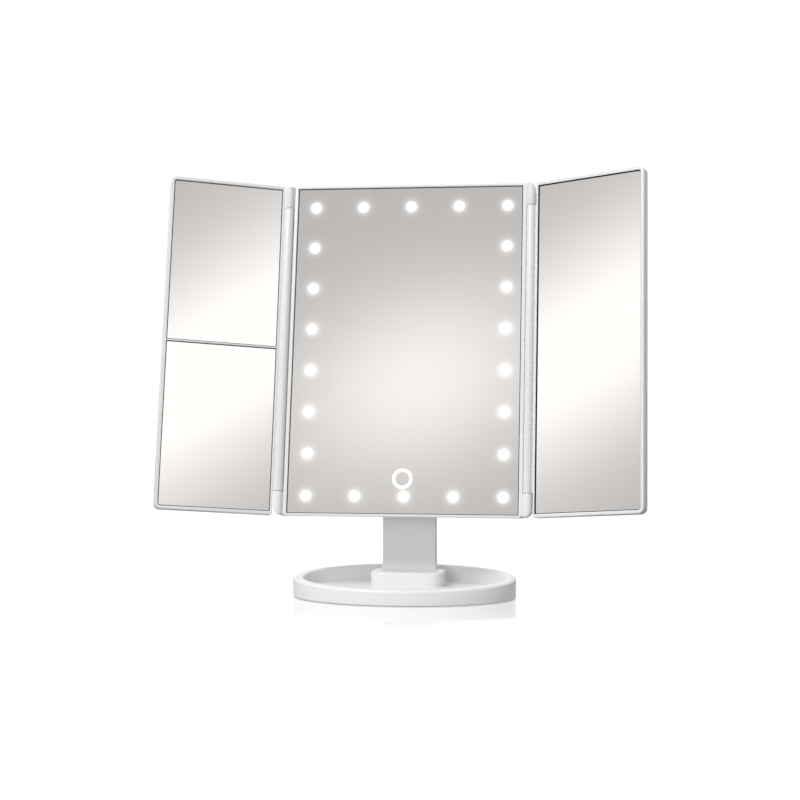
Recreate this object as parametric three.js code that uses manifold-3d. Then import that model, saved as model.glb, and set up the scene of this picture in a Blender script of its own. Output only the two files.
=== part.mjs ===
// Lighted makeup mirror: a centre mirror between two folding wings, on a neck and a tray base.
// Millimetres and degrees. +Z is up and the mirrors face -Y. The origin is on the surface that
// the feet stand on, under the middle of the base.

import * as THREE from 'three';
import { mergeVertices } from 'three/addons/utils/BufferGeometryUtils.js';
import Module from 'manifold-3d';

const wasm = await Module();
wasm.setup();

// Clearances
const fitGap = 0.3; // between two pieces that seat on each other
const pinGap = 0.25; // around a pin, shaft or screw, on the radius
const hingeGap = 0.4; // between a hinge column and what it turns past
const overrun = 1; // how far a cutting body runs past the face that it opens
const bite = 0.5; // how far two bodies of one piece run into each other

// Centre mirror and its rims
const glassWidth = 155;
const glassHeight = 225;
const glassThickness = 3;
const sideRim = 2.4;
const endRim = 1.8;
const rimProud = 1.4; // how far the rims stand in front of the glass
const glassLedge = 2.8; // width of the ledge that the glass is glued to

// Light windows and touch ring
const windowRadius = 4;
const windowsAcross = 5;
const windowsUp = 8;
const windowInsetSide = 11.3;
const windowInsetTop = 12.6;
const windowInsetBottom = 11.7;
const windowShift = 1.2; // the pattern sits a little to the right of the middle
const windowRecess = 0.05; // from the glass face to the window face
const touchHeight = 23.6;
const touchRingRadius = 6.85;
const touchRingWidth = 2;
const touchRingDepth = 1;

// Head housing
const headLean = 11; // backwards from upright, at rest
const headDepth = 17; // glass face to back
const partingDepth = 9; // glass face to the joint of frame and rear housing
const headCorner = 6;
const headWall = 2;
const endTaper = 0.12; // how much the ends draw in, per unit of depth
const backEdge = 4; // rounding of the back edge
const screwPostRadius = 2.6;
const housingScrewLow = 30;
const housingScrewHigh = glassHeight - 30;
const housingScrewRadius = 1;
const housingScrewHead = 2;
const housingScrewHeadLength = 1.6;
const housingScrewSeat = 3; // back of the head to the seat of the screw

// Boards
const boardThickness = 1.2;
const ledBoardDepth = 7.8; // glass face to its front
const ledBoardBar = 16;
const ledBoardFoot = 33; // top of its lower bar, behind the touch ring
const ledWidth = 3.5;
const ledHeight = 0.8;
const diffuserThickness = 1.2;
const diffuserBar = 15;
const controlBoardWidth = 104;
const fittingFromEnd = 7; // end of the control board to the middle of the switch or inlet
const controlBoardLow = 8;
const controlBoardHeight = 22;
const controlBoardDepth = 10.8;
const connectorWidth = 10;
const connectorHeight = 2.5;
const sensorRadius = 7;
const sensorFoil = 0.5;
const sensorStem = 2.4;

// Wing hinges
const columnRadius = 2.9;
const knuckleLength = 16.2;
const hingeForward = 1.8; // glass face to hinge axis
const pinRadius = 1.2;
const pinLength = 25;
const pinCover = 4.1; // knuckle end to pin

// Wings
const leftWingOpen = 21.7; // forward of flat, at rest
const rightWingOpen = 23.7;
const wingThickness = 6.7;
const wingFaceDrop = 0.3; // hinge axis to the wing's front face
const wingMeet = 2.6; // between the two wings when both are closed
const wingShorter = 0.4; // than the head, at each end
const wingRim = 2.3;
const wingOuterCorner = 4;
const wingInnerCorner = 1.5;
const wingGlassDrop = 1.4; // front of the rim to the glass
const wingGlassThickness = 1.8;
const wingLedge = 4;
const wingCoverThickness = 1.7;
const wingBar = 1; // between the two mirrors of the left wing
const wingBarBody = 5;

// Battery bay
const cellRadius = 5.25;
const cellLength = 44.5;
const cellNubRadius = 1.9;
const cellNubLength = 1;
const cellCount = 4;
const contactThickness = 0.5;
const contactReach = 2.6;
const contactTip = 1.4;
const contactRoot = 3.2;
const bayMiddle = 156; // height above the lower edge of the glass
const bayDepth = 6.5; // glass face to the floor of the bay
const bayWall = 1.5;
const doorThickness = 1.6;
const doorTongue = 1.5; // how far the door's edges reach into the grooves
const doorMargin = 8; // from the bay to the ends of the door
const humpMargin = 3;
const doorGripRadius = 5;
const doorGripDepth = 0.5;
const leadRadius = 1;

// Switch and power inlet, on the back
const inletWidth = 9;
const inletHeight = 3.3;
const inletWall = 0.4;
const inletFloor = 1;
const inletSunk = 0.2; // back of the head to the mouth of the inlet
const inletTongue = 0.7;
const inletTongueWidth = 6.2;
const inletTongueSunk = 0.8;
const switchWidth = 9;
const switchHeight = 4;
const knobWidth = 3.4;
const knobHeight = 2.8;
const knobProud = 1.2;
const knobNotch = 0.4;
const knobTravel = 4;
const postRadius = 2;
const postSpread = 30;

// Tilt hinge
const tiltShaftRadius = 2.5;
const tiltHeight = 92.1; // above the lower edge of the glass
const tiltBehind = 6; // back of the head to the axis
const tiltKnuckle = 5.2;
const tiltLug = 6;
const tiltLugSpread = 8;
const washerThickness = 1;
const washerRadius = 4.8;
const shaftHeadRadius = 4.2;
const shaftHeadLength = 2;
const nutRadius = 4.6;
const nutLength = 3;
const shaftTail = 0.6;

// Neck
const neckWidth = 36.2;
const neckThickness = 6.2;
const neckFront = 24; // behind the middle of the base
const neckWall = 2;
const neckTop = 142.4; // surface to tilt axis
const footReach = 2.2;
const footRise = 7;
const footEdge = 0.8;
const spigotWidth = 30;
const spigotInset = 0.6;
const pocketLow = 28;
const corePlateThickness = 1.8;
const bracketWidth = 30;
const bracketThickness = 2;
const bracketFront = 16;
const bracketBack = 30.6;
const neckScrewSpread = 9;
const neckScrewRadius = 1.2;
const neckScrewHead = 2.6;
const neckScrewHeadLength = 1.8;
const neckScrewReach = 24;

// Base
const baseWidth = 150;
const baseDepth = 103;
const rimFront = 10.2;
const rimBack = 16.9;
const rimWidth = 4.8; // at the front and back; the ends are wider, as the oval is
const trayFloor = 5.3;
const trayFillet = 1.4;
const floorThickness = 1.3;
const baseWall = 2;
const baseLift = 0.4; // surface to the lower edge of the base
const baseEdge = 0.5;
const plinthWidth = 49;
const plinthFront = 5; // from the middle of the base
const plinthBack = 37;
const plinthTop = 14.6;
const plinthCorner = 8;
const plinthEdge = 1.2;
const coverLow = 0.8;
const coverThickness = 1;
const ballastThickness = 1;
const ballastInset = 10;
const ballastRing = 4.5; // plate behind the hollow of the plinth
const footPadRadius = 5;
const footPadX = baseWidth / 2 - 31;
const footPadY = baseDepth / 2 - 22.5;
const footRecess = 0.5;
const coverBossRadius = 2.8;
const coverScrewX = 18.5;
const coverScrewSpread = 10; // in front of and behind the middle of the plinth
const coverScrewRadius = 1.1;
const coverScrewHead = 2.2;
const coverScrewHeadLength = 0.6;
const coverScrewReach = 8;

// Sides of round faces
const fineSides = 64;
const roundSides = 24;
const smallSides = 12;
const windowSides = 12;
const cornerSteps = 3;

// Sizes that follow from those above
const glassHalf = glassWidth / 2;
const rimHalf = glassHalf + fitGap + sideRim;
const hingeX = rimHalf + hingeGap + columnRadius;
const headHalf = hingeX + columnRadius;
const headLow = -fitGap - endRim;
const headHigh = glassHeight + fitGap + endRim;
const shelfDepth = columnRadius - hingeForward + hingeGap + 0.2;
const glassBack = glassThickness + fitGap;
const ledgeBack = ledBoardDepth - fitGap;
const backInside = headDepth - headWall;
const screwSeat = headDepth - housingScrewSeat;
const tiltDepth = headDepth + tiltBehind;
const screwX = (rimHalf + headHalf - headWall) / 2;
const barrelLow = headLow + knuckleLength + fitGap;
const barrelHigh = headHigh - knuckleLength - fitGap;
const wingInner = columnRadius + hingeGap;
const wingOuter = hingeX - wingMeet / 2;
const wingLow = headLow + wingShorter;
const wingHigh = headHigh - wingShorter;
const wingFace = wingFaceDrop;
const wingGlassFace = wingFace + wingGlassDrop;
const wingGlassBack = wingGlassFace + wingGlassThickness;
const wingCoverFace = wingFace + wingThickness - wingCoverThickness;
const wingMiddle = (wingLow + wingHigh) / 2;
const cellPitch = 2 * cellRadius + fitGap;
const bayHalfWidth = cellLength / 2 + contactReach + contactThickness + 2 * fitGap;
const bayHalfHeight = (cellCount * cellPitch + fitGap) / 2;
const cellDepth = bayDepth + fitGap + cellRadius;
const doorInside = cellDepth + cellRadius + fitGap;
const doorOutside = doorInside + doorThickness;
const doorHalf = bayHalfWidth + 1;
const doorLow = bayMiddle - bayHalfHeight - doorMargin;
const doorHigh = bayMiddle + bayHalfHeight + doorMargin;
const tongueBack = doorInside + doorThickness / 2;
const controlBoardBack = controlBoardDepth + boardThickness;
const backFittingSpread = controlBoardWidth / 2 - fittingFromEnd;
const controlBoardMiddle = controlBoardLow + controlBoardHeight / 2;
const knobX = -backFittingSpread + knobTravel / 2;
const lugInner = neckWidth / 2 + washerThickness + 2 * fitGap;
const lugOuter = lugInner + tiltLug;
const neckBack = neckFront + neckThickness;
const neckMiddle = neckFront + neckThickness / 2;
const neckLow = plinthTop + fitGap;
const pocketHigh = neckTop - tiltKnuckle - neckWall;
const plinthUnder = plinthTop - baseWall;
const plinthBehind = (plinthFront + plinthBack) / 2;
const floorUnder = trayFloor - floorThickness;
const coverTop = coverLow + coverThickness;
const rimMiddle = (rimFront + rimBack) / 2;
const rimSlope = (rimBack - rimFront) / baseDepth;
const baseStretch = baseWidth / baseDepth;

// Finishes
const whiteGloss = new THREE.MeshStandardMaterial({ color: 0xf1f1f2, roughness: 0.3 });
const whiteSatin = new THREE.MeshStandardMaterial({ color: 0xe9e9ea, roughness: 0.5 });
const mirrorFinish = new THREE.MeshStandardMaterial({ color: 0xc9cacb, roughness: 0.04, metalness: 1 });
const lightWindow = new THREE.MeshStandardMaterial({ color: 0xfffdf6, roughness: 0.6 });
const boardGreen = new THREE.MeshStandardMaterial({ color: 0x1f5a3c, roughness: 0.6 });
const blackPlastic = new THREE.MeshStandardMaterial({ color: 0x1b1b1c, roughness: 0.5 });
const brightSteel = new THREE.MeshStandardMaterial({ color: 0xb9bbbe, roughness: 0.3, metalness: 1 });
const greySteel = new THREE.MeshStandardMaterial({ color: 0x8c8f92, roughness: 0.5, metalness: 1 });
const greyRubber = new THREE.MeshStandardMaterial({ color: 0x6d6f72, roughness: 0.9 });
const cellJacket = new THREE.MeshStandardMaterial({ color: 0x3c4652, roughness: 0.4, metalness: 0.3 });
const redWire = new THREE.MeshStandardMaterial({ color: 0xa12a22, roughness: 0.6 });

// Closed geometry to a body that can be joined and cut, without faces that have no area
function solid(geometry) {
  const bare = geometry.clone();
  bare.deleteAttribute('normal');
  bare.deleteAttribute('uv');
  const merged = mergeVertices(bare, 1e-5);
  const faces = [];
  for (let i = 0; i < merged.index.count; i += 3) {
    const [a, b, c] = merged.index.array.slice(i, i + 3);
    if (a !== b && b !== c && c !== a) {
      faces.push(a, b, c);
    }
  }
  return new wasm.Manifold(new wasm.Mesh({
    numProp: 3,
    vertProperties: new Float32Array(merged.attributes.position.array),
    triVerts: new Uint32Array(faces),
  }));
}

function join(first, ...others) {
  return others.reduce((sum, body) => sum.add(body), first);
}

function cut(first, ...tools) {
  return tools.reduce((rest, tool) => rest.subtract(tool), first);
}

function piece(parent, name, body, material) {
  const result = body.getMesh();
  const geometry = new THREE.BufferGeometry();
  geometry.setAttribute('position', new THREE.BufferAttribute(result.vertProperties, 3));
  geometry.setIndex(new THREE.BufferAttribute(result.triVerts, 1));
  geometry.computeVertexNormals();
  const mesh = new THREE.Mesh(geometry, material);
  mesh.name = name;
  parent.add(mesh);
}

// Box between two corners
function block(x0, x1, y0, y1, z0, z1) {
  const box = new THREE.BoxGeometry(Math.abs(x1 - x0), Math.abs(y1 - y0), Math.abs(z1 - z0));
  box.translate((x0 + x1) / 2, (y0 + y1) / 2, (z0 + z1) / 2);
  return solid(box);
}

// Round bars along each axis; the two numbers after the ends place the bar across its axis
function barX(radius, x0, x1, y, z, sides = roundSides, endRadius = radius) {
  const bar = new THREE.CylinderGeometry(radius, endRadius, x1 - x0, sides);
  bar.rotateZ(Math.PI / 2);
  bar.translate((x0 + x1) / 2, y, z);
  return solid(bar);
}

function barY(radius, y0, y1, x, z, sides = roundSides) {
  const bar = new THREE.CylinderGeometry(radius, radius, y1 - y0, sides);
  bar.translate(x, (y0 + y1) / 2, z);
  return solid(bar);
}

function barZ(radius, z0, z1, x, y, sides = roundSides) {
  const bar = new THREE.CylinderGeometry(radius, radius, z1 - z0, sides);
  bar.rotateX(Math.PI / 2);
  bar.translate(x, y, (z0 + z1) / 2);
  return solid(bar);
}

// Upright outline in X and Z, given thickness from its front to its back
function slab(outline, front, back, edge = 0) {
  const bevel = {
    bevelEnabled: edge > 0,
    bevelThickness: edge,
    bevelSize: edge,
    bevelOffset: -edge,
  };
  const plate = new THREE.ExtrudeGeometry(outline, {
    depth: back - front - 2 * edge,
    bevelSegments: 3,
    curveSegments: cornerSteps,
    ...bevel,
  });
  plate.rotateX(Math.PI / 2);
  plate.translate(0, back - edge, 0);
  return solid(plate);
}

// Side outline in Y and Z, given width along X
function profile(outline, x0, x1) {
  const plate = new THREE.ExtrudeGeometry(outline, {
    depth: x1 - x0,
    bevelEnabled: false,
    curveSegments: 10,
  });
  plate.translate(0, 0, x0);
  plate.rotateX(Math.PI / 2);
  plate.rotateZ(Math.PI / 2);
  return solid(plate);
}

// Level outline in X and Y, given height, with a rounded top edge
function raised(outline, z0, z1, edge) {
  const plate = new THREE.ExtrudeGeometry(outline, {
    depth: z1 - z0,
    curveSegments: 2 * cornerSteps,
    bevelEnabled: true,
    bevelThickness: edge,
    bevelSize: edge,
    bevelOffset: -edge,
    bevelSegments: 3,
  });
  plate.translate(0, 0, z0 - edge);
  const far = 2 * baseWidth;
  return cut(solid(plate), block(-far, far, -far, far, z0 - 3 * edge, z0));
}

// Flat oval in X and Y, given height
function oval(halfWidth, halfDepth, z0, z1) {
  const outline = new THREE.Shape();
  outline.absellipse(0, 0, halfWidth, halfDepth, 0, 2 * Math.PI);
  const points = outline.getPoints(fineSides / 2).slice(0, -1);
  const options = { depth: z1 - z0, bevelEnabled: false };
  const plate = new THREE.ExtrudeGeometry(new THREE.Shape(points), options);
  plate.translate(0, 0, z0);
  return solid(plate);
}

// Round body about Z from a profile of radius and height that starts and ends on the axis
function turned(points, stretch = 1) {
  const body = new THREE.LatheGeometry(points.map(([r, z]) => new THREE.Vector2(r, z)), fineSides);
  body.rotateX(Math.PI / 2);
  body.scale(stretch, 1, 1);
  return body;
}

// Points of a round corner from one angle to another, in degrees
function arc(r, z, radius, from, to, steps) {
  const points = [];
  for (let i = 0; i <= steps; i += 1) {
    const angle = THREE.MathUtils.degToRad(THREE.MathUtils.lerp(from, to, i / steps));
    points.push([r + radius * Math.cos(angle), z + radius * Math.sin(angle)]);
  }
  return points;
}

// Rectangle with a radius for each corner: low left, low right, high right, high left
function rounded(x0, x1, z0, z1, [lowLeft, lowRight, highRight, highLeft]) {
  const outline = new THREE.Shape();
  outline.moveTo(x0 + lowLeft, z0);
  outline.lineTo(x1 - lowRight, z0);
  outline.absarc(x1 - lowRight, z0 + lowRight, lowRight, -Math.PI / 2, 0);
  outline.lineTo(x1, z1 - highRight);
  outline.absarc(x1 - highRight, z1 - highRight, highRight, 0, Math.PI / 2);
  outline.lineTo(x0 + highLeft, z1);
  outline.absarc(x0 + highLeft, z1 - highLeft, highLeft, Math.PI / 2, Math.PI);
  outline.lineTo(x0, z0 + lowLeft);
  outline.absarc(x0 + lowLeft, z0 + lowLeft, lowLeft, Math.PI, 1.5 * Math.PI);
  return outline;
}

// Headed screw whose head sits at the low end of its axis
function screwZ(x, y, low, headLength, headRadius, shankRadius, high) {
  const head = barZ(headRadius, low, low + headLength, x, y, smallSides);
  return join(head, barZ(shankRadius, low + headLength / 2, high, x, y, smallSides));
}

// The head's pieces lie in its own frame: the glass face is at Y 0 and its lower edge at Z 0.

function windowCentres() {
  const halfRun = glassHalf - windowInsetSide;
  const low = windowInsetBottom;
  const high = glassHeight - windowInsetTop;
  const centres = [];
  for (let i = 0; i < windowsAcross; i += 1) {
    const x = THREE.MathUtils.lerp(-halfRun, halfRun, i / (windowsAcross - 1)) + windowShift;
    centres.push([x, low], [x, high]);
  }
  for (let i = 1; i < windowsUp - 1; i += 1) {
    const z = THREE.MathUtils.lerp(low, high, i / (windowsUp - 1));
    centres.push([windowShift - halfRun, z], [windowShift + halfRun, z]);
  }
  return centres;
}

function centreMirror() {
  let glass = block(-glassHalf, glassHalf, 0, glassThickness, 0, glassHeight);
  for (const [x, z] of windowCentres()) {
    glass = cut(glass, barY(windowRadius + pinGap, -overrun, glassThickness + overrun, x, z, windowSides));
  }
  const grooveOut = barY(touchRingRadius + pinGap, -overrun, touchRingDepth, 0, touchHeight);
  const islandRadius = touchRingRadius - touchRingWidth - pinGap;
  const grooveIn = barY(islandRadius, -2 * overrun, 2 * touchRingDepth, 0, touchHeight);
  return cut(glass, cut(grooveOut, grooveIn));
}

function touchRing() {
  const back = touchRingDepth - fitGap;
  const outer = barY(touchRingRadius, windowRecess, back, 0, touchHeight);
  return cut(outer, barY(touchRingRadius - touchRingWidth, -overrun, back + overrun, 0, touchHeight));
}

function lightDiffuser() {
  const half = glassHalf - glassLedge - fitGap;
  const low = glassLedge + fitGap;
  const high = glassHeight - glassLedge - fitGap;
  const back = glassBack + diffuserThickness;
  let plate = block(-half, half, glassBack, back, low, high);
  const inner = half - diffuserBar;
  const innerLow = ledBoardFoot;
  plate = cut(plate, block(-inner, inner, 0, back + overrun, innerLow, high - diffuserBar));
  for (const [x, z] of windowCentres()) {
    const root = glassBack + diffuserThickness / 2;
    plate = join(plate, barY(windowRadius, windowRecess, root, x, z, windowSides));
  }
  return plate;
}

function ledBoard() {
  const half = glassHalf - fitGap;
  const back = ledBoardDepth + boardThickness;
  let board = block(-half, half, ledBoardDepth, back, fitGap, glassHeight - fitGap);
  const inner = half - ledBoardBar;
  const high = glassHeight - ledBoardBar;
  board = cut(board, block(-inner, inner, 0, back + overrun, ledBoardFoot, high));
  const led = ledWidth / 2;
  for (const [x, z] of windowCentres()) {
    const front = ledBoardDepth - ledHeight;
    board = join(board, block(x - led, x + led, front, ledBoardDepth + bite, z - led, z + led));
  }
  return board;
}

function touchSensor() {
  const front = glassBack + diffuserThickness + fitGap;
  const foil = barY(sensorRadius, front, front + sensorFoil, 0, touchHeight);
  return join(foil, barY(sensorStem, front + sensorFoil / 2, ledgeBack, 0, touchHeight));
}

function headOutline(inset) {
  const corner = headCorner - inset / 2;
  const corners = [corner, corner, corner, corner];
  return rounded(-headHalf + inset, headHalf - inset, headLow + inset, headHigh - inset, corners);
}

// Draws in the two ends of a body from the glass face to the back, inside a wall that is left
function taperedEnds(body, wall = 0) {
  const depth = 2 * headDepth;
  const draw = depth * endTaper;
  const far = 2 * headCorner;
  const wide = 2 * headHalf;
  const below = new THREE.Shape();
  below.moveTo(0, headLow + wall);
  below.lineTo(0, headLow - far);
  below.lineTo(depth, headLow - far);
  below.lineTo(depth, headLow + wall + draw);
  const above = new THREE.Shape();
  above.moveTo(0, headHigh - wall);
  above.lineTo(depth, headHigh - wall - draw);
  above.lineTo(depth, headHigh + far);
  above.lineTo(0, headHigh + far);
  return cut(body, profile(below, -wide, wide), profile(above, -wide, wide));
}

// Fixed knuckle of a wing hinge, square behind and round in front
function knuckle(side, low, high) {
  const column = barZ(columnRadius, low, high, side * hingeX, -hingeForward);
  const root = block(side * (rimHalf - bite), side * headHalf, -rimProud, shelfDepth + bite, low, high);
  return join(column, root);
}

function pinBottom(end) {
  return end < 0 ? headLow + pinCover : headHigh - pinCover - pinLength;
}

function centreFrame() {
  const corner = headCorner - sideRim;
  const rimCorners = [corner, corner, corner, corner];
  const rimOutline = rounded(-rimHalf, rimHalf, headLow, headHigh, rimCorners);
  const rim = slab(rimOutline, -rimProud, partingDepth);
  let frame = join(rim, slab(headOutline(0), shelfDepth, partingDepth));
  const silhouette = slab(headOutline(0), -2 * columnRadius - hingeForward, partingDepth);
  for (const side of [-1, 1]) {
    const lower = knuckle(side, headLow, headLow + knuckleLength);
    const upper = knuckle(side, headHigh - knuckleLength, headHigh);
    frame = join(frame, lower.intersect(silhouette), upper.intersect(silhouette));
  }
  frame = taperedEnds(frame);
  const glassX = glassHalf + fitGap;
  frame = cut(frame, block(-glassX, glassX, -2 * columnRadius, glassBack, -fitGap, glassHeight + fitGap));
  const openX = glassHalf - glassLedge;
  frame = cut(frame, block(-openX, openX, 0, headDepth, glassLedge, glassHeight - glassLedge));
  frame = cut(frame, block(-glassHalf, glassHalf, ledgeBack, headDepth, 0, glassHeight));
  for (const side of [-1, 1]) {
    const coreTop = headHigh - headWall - fitGap;
    const coreLow = headLow + headWall + fitGap;
    const coreOut = side * (headHalf - headWall);
    const coreFront = shelfDepth + headWall;
    let core = block(side * rimHalf, coreOut, coreFront, partingDepth + overrun, coreLow, coreTop);
    for (const z of [housingScrewLow, housingScrewHigh]) {
      core = cut(core, barY(screwPostRadius, 0, headDepth, side * screwX, z, smallSides));
    }
    frame = cut(frame, core);
    for (const z of [housingScrewLow, housingScrewHigh]) {
      const hole = housingScrewRadius + pinGap;
      frame = cut(frame, barY(hole, shelfDepth + headWall / 2, headDepth, side * screwX, z, smallSides));
    }
    for (const end of [-1, 1]) {
      const low = pinBottom(end);
      const bore = pinRadius + pinGap;
      const high = low + pinLength + fitGap;
      frame = cut(frame, barZ(bore, low - fitGap, high, side * hingeX, -hingeForward, smallSides));
    }
  }
  return frame;
}

function hingePin(side, end) {
  const low = pinBottom(end);
  return barZ(pinRadius, low, low + pinLength, side * hingeX, -hingeForward, smallSides);
}

// Lug of the tilt hinge, a half-round ear on the back of the head
function tiltLugBody(side) {
  const ear = new THREE.Shape();
  ear.moveTo(headDepth - headWall / 2, tiltHeight - tiltLugSpread);
  ear.lineTo(tiltDepth, tiltHeight - tiltKnuckle);
  ear.absarc(tiltDepth, tiltHeight, tiltKnuckle, -Math.PI / 2, Math.PI / 2);
  ear.lineTo(headDepth - headWall / 2, tiltHeight + tiltLugSpread);
  const inner = Math.min(side * lugInner, side * lugOuter);
  return profile(ear, inner, inner + tiltLug);
}

function rearHousing() {
  const front = partingDepth + fitGap;
  const outside = slab(headOutline(0), front - headDepth, headDepth, backEdge);
  const wide = 2 * headHalf;
  let shell = cut(outside, block(-wide, wide, -headDepth * 2, front, -headHigh, 2 * headHigh));
  const hollow = taperedEnds(slab(headOutline(headWall), 0, backInside), headWall);
  shell = cut(taperedEnds(shell), hollow);

  const bayX = bayHalfWidth + bayWall;
  const bayLow = bayMiddle - bayHalfHeight;
  const bayHigh = bayMiddle + bayHalfHeight;
  const bayFront = bayDepth - bayWall;
  shell = join(shell, block(-bayX, bayX, bayFront, headDepth - bite, bayLow - bayWall, bayHigh + bayWall));
  const humpX = doorHalf + doorTongue + humpMargin;
  const humpCorners = [4, 4, 1, 1];
  const humpLow = doorLow - humpMargin;
  const hump = slab(rounded(-humpX, humpX, humpLow, doorHigh, humpCorners), backInside + bite, doorOutside);
  shell = join(shell, hump);
  shell = cut(shell, block(-bayHalfWidth, bayHalfWidth, bayDepth, doorOutside + overrun, bayLow, bayHigh));
  const slotX = doorHalf + fitGap;
  const grooveX = slotX + doorTongue;
  const slotLow = doorLow - fitGap;
  const slotTop = doorHigh + overrun;
  const seat = doorInside - fitGap;
  shell = cut(shell, block(-slotX, slotX, seat, doorOutside + overrun, slotLow, slotTop));
  shell = cut(shell, block(-grooveX, grooveX, seat, tongueBack + fitGap, slotLow, slotTop));

  const postEnd = backInside + bite;
  for (const side of [-1, 1]) {
    shell = join(shell, tiltLugBody(side));
    for (const z of [housingScrewLow, housingScrewHigh]) {
      shell = join(shell, barY(screwPostRadius, front, postEnd, side * screwX, z, smallSides));
    }
    const x = side * postSpread;
    const tip = controlBoardBack + fitGap;
    shell = join(shell, barY(postRadius, tip, postEnd, x, controlBoardMiddle, smallSides));
  }
  for (const side of [-1, 1]) {
    for (const z of [housingScrewLow, housingScrewHigh]) {
      const hole = housingScrewRadius + pinGap;
      const headHole = housingScrewHead + pinGap;
      shell = cut(shell, barY(hole, 0, headDepth + overrun, side * screwX, z, smallSides));
      shell = cut(shell, barY(headHole, screwSeat, headDepth + overrun, side * screwX, z, smallSides));
    }
  }
  const boreEnd = lugOuter + overrun;
  shell = cut(shell, barX(tiltShaftRadius + pinGap, -boreEnd, boreEnd, tiltDepth, tiltHeight));
  const inletX = inletWidth / 2 + fitGap;
  const inletZ = inletHeight / 2 + fitGap;
  const z = controlBoardMiddle;
  const past = headDepth + overrun;
  const spread = backFittingSpread;
  const into = backInside - overrun;
  shell = cut(shell, block(spread - inletX, spread + inletX, into, past, z - inletZ, z + inletZ));
  const slotHalf = (knobWidth + knobTravel) / 2 + fitGap;
  const slotZ = knobHeight / 2 + fitGap;
  return cut(shell, block(-spread - slotHalf, -spread + slotHalf, into, past, z - slotZ, z + slotZ));
}

function housingScrew(side, z) {
  const back = screwSeat + housingScrewHeadLength;
  const head = barY(housingScrewHead, screwSeat + fitGap, back, side * screwX, z, smallSides);
  const tip = shelfDepth + headWall / 2 + fitGap;
  return join(head, barY(housingScrewRadius, tip, backInside, side * screwX, z, smallSides));
}

function controlBoard() {
  const half = controlBoardWidth / 2;
  const top = controlBoardLow + controlBoardHeight;
  return block(-half, half, controlBoardDepth, controlBoardBack, controlBoardLow, top);
}

function boardConnector() {
  const front = ledBoardDepth + boardThickness + fitGap;
  const half = connectorWidth / 2;
  const low = controlBoardMiddle - connectorHeight / 2;
  return block(-half, half, front, controlBoardDepth - fitGap, low, low + connectorHeight);
}

function powerInlet() {
  const x = backFittingSpread;
  const z = controlBoardMiddle;
  const halfX = inletWidth / 2;
  const halfZ = inletHeight / 2;
  const front = controlBoardBack + fitGap;
  const back = headDepth - inletSunk;
  const floor = front + inletFloor;
  const body = block(x - halfX, x + halfX, front, back, z - halfZ, z + halfZ);
  const mouthX = halfX - inletWall;
  const mouthZ = halfZ - inletWall;
  const mouth = block(x - mouthX, x + mouthX, floor, back + overrun, z - mouthZ, z + mouthZ);
  const tongue = inletTongue / 2;
  const bladeX = inletTongueWidth / 2;
  const bladeBack = back - inletTongueSunk;
  const blade = block(x - bladeX, x + bladeX, floor - bite, bladeBack, z - tongue, z + tongue);
  return join(cut(body, mouth), blade);
}

function switchBody() {
  const x = -backFittingSpread;
  const z = controlBoardMiddle;
  const front = controlBoardBack + fitGap;
  const back = backInside - fitGap;
  const half = switchWidth / 2;
  return block(x - half, x + half, front, back, z - switchHeight / 2, z + switchHeight / 2);
}

function switchKnob() {
  const z = controlBoardMiddle;
  const front = backInside;
  const back = headDepth + knobProud;
  const half = knobWidth / 2;
  let knob = block(knobX - half, knobX + half, front, back, z - knobHeight / 2, z + knobHeight / 2);
  for (const step of [-1, 0, 1]) {
    const x = knobX + step * knobWidth / 4;
    const notch = knobNotch / 2;
    const [low, high] = [z - knobHeight, z + knobHeight];
    knob = cut(knob, block(x - notch, x + notch, back - knobNotch, back + overrun, low, high));
  }
  return knob;
}

function batteryDoor() {
  const plate = block(-doorHalf, doorHalf, doorInside, doorOutside, doorLow, doorHigh);
  const tongueX = doorHalf + doorTongue;
  const tongues = block(-tongueX, tongueX, doorInside, tongueBack, doorLow, doorHigh);
  const gripAt = doorLow + 2 * doorGripRadius;
  const gripFloor = doorOutside - doorGripDepth;
  const grip = barY(doorGripRadius, gripFloor, doorOutside + overrun, 0, gripAt, roundSides);
  return cut(join(plate, tongues), grip);
}

function cellHeight(i) {
  return bayMiddle - bayHalfHeight + fitGap + cellRadius + i * cellPitch;
}

function batteryCell(i) {
  const turn = i % 2 === 0 ? 1 : -1;
  const end = cellLength / 2;
  const z = cellHeight(i);
  const shoulder = end - cellNubLength;
  const can = turn > 0
    ? barX(cellRadius, -end, shoulder, cellDepth, z)
    : barX(cellRadius, -shoulder, end, cellDepth, z);
  const nub = turn > 0
    ? barX(cellNubRadius, shoulder - bite, end, cellDepth, z, smallSides)
    : barX(cellNubRadius, -end, -shoulder + bite, cellDepth, z, smallSides);
  return join(can, nub);
}

function contactStrip(side) {
  const outer = side * (bayHalfWidth - fitGap);
  const inner = outer - side * contactThickness;
  const low = bayMiddle - bayHalfHeight + fitGap;
  const high = bayMiddle + bayHalfHeight - fitGap;
  let strip = block(inner, outer, bayDepth + fitGap, headDepth - fitGap, low, high);
  const tip = inner - side * contactReach;
  const contactBite = contactThickness / 2;
  for (let i = 0; i < cellCount; i += 1) {
    const z = cellHeight(i);
    const spring = side > 0
      ? barX(contactRoot, tip, inner + contactBite, cellDepth, z, smallSides, contactTip)
      : barX(contactTip, inner - contactBite, tip, cellDepth, z, smallSides, contactRoot);
    strip = join(strip, spring);
  }
  return strip;
}

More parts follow.
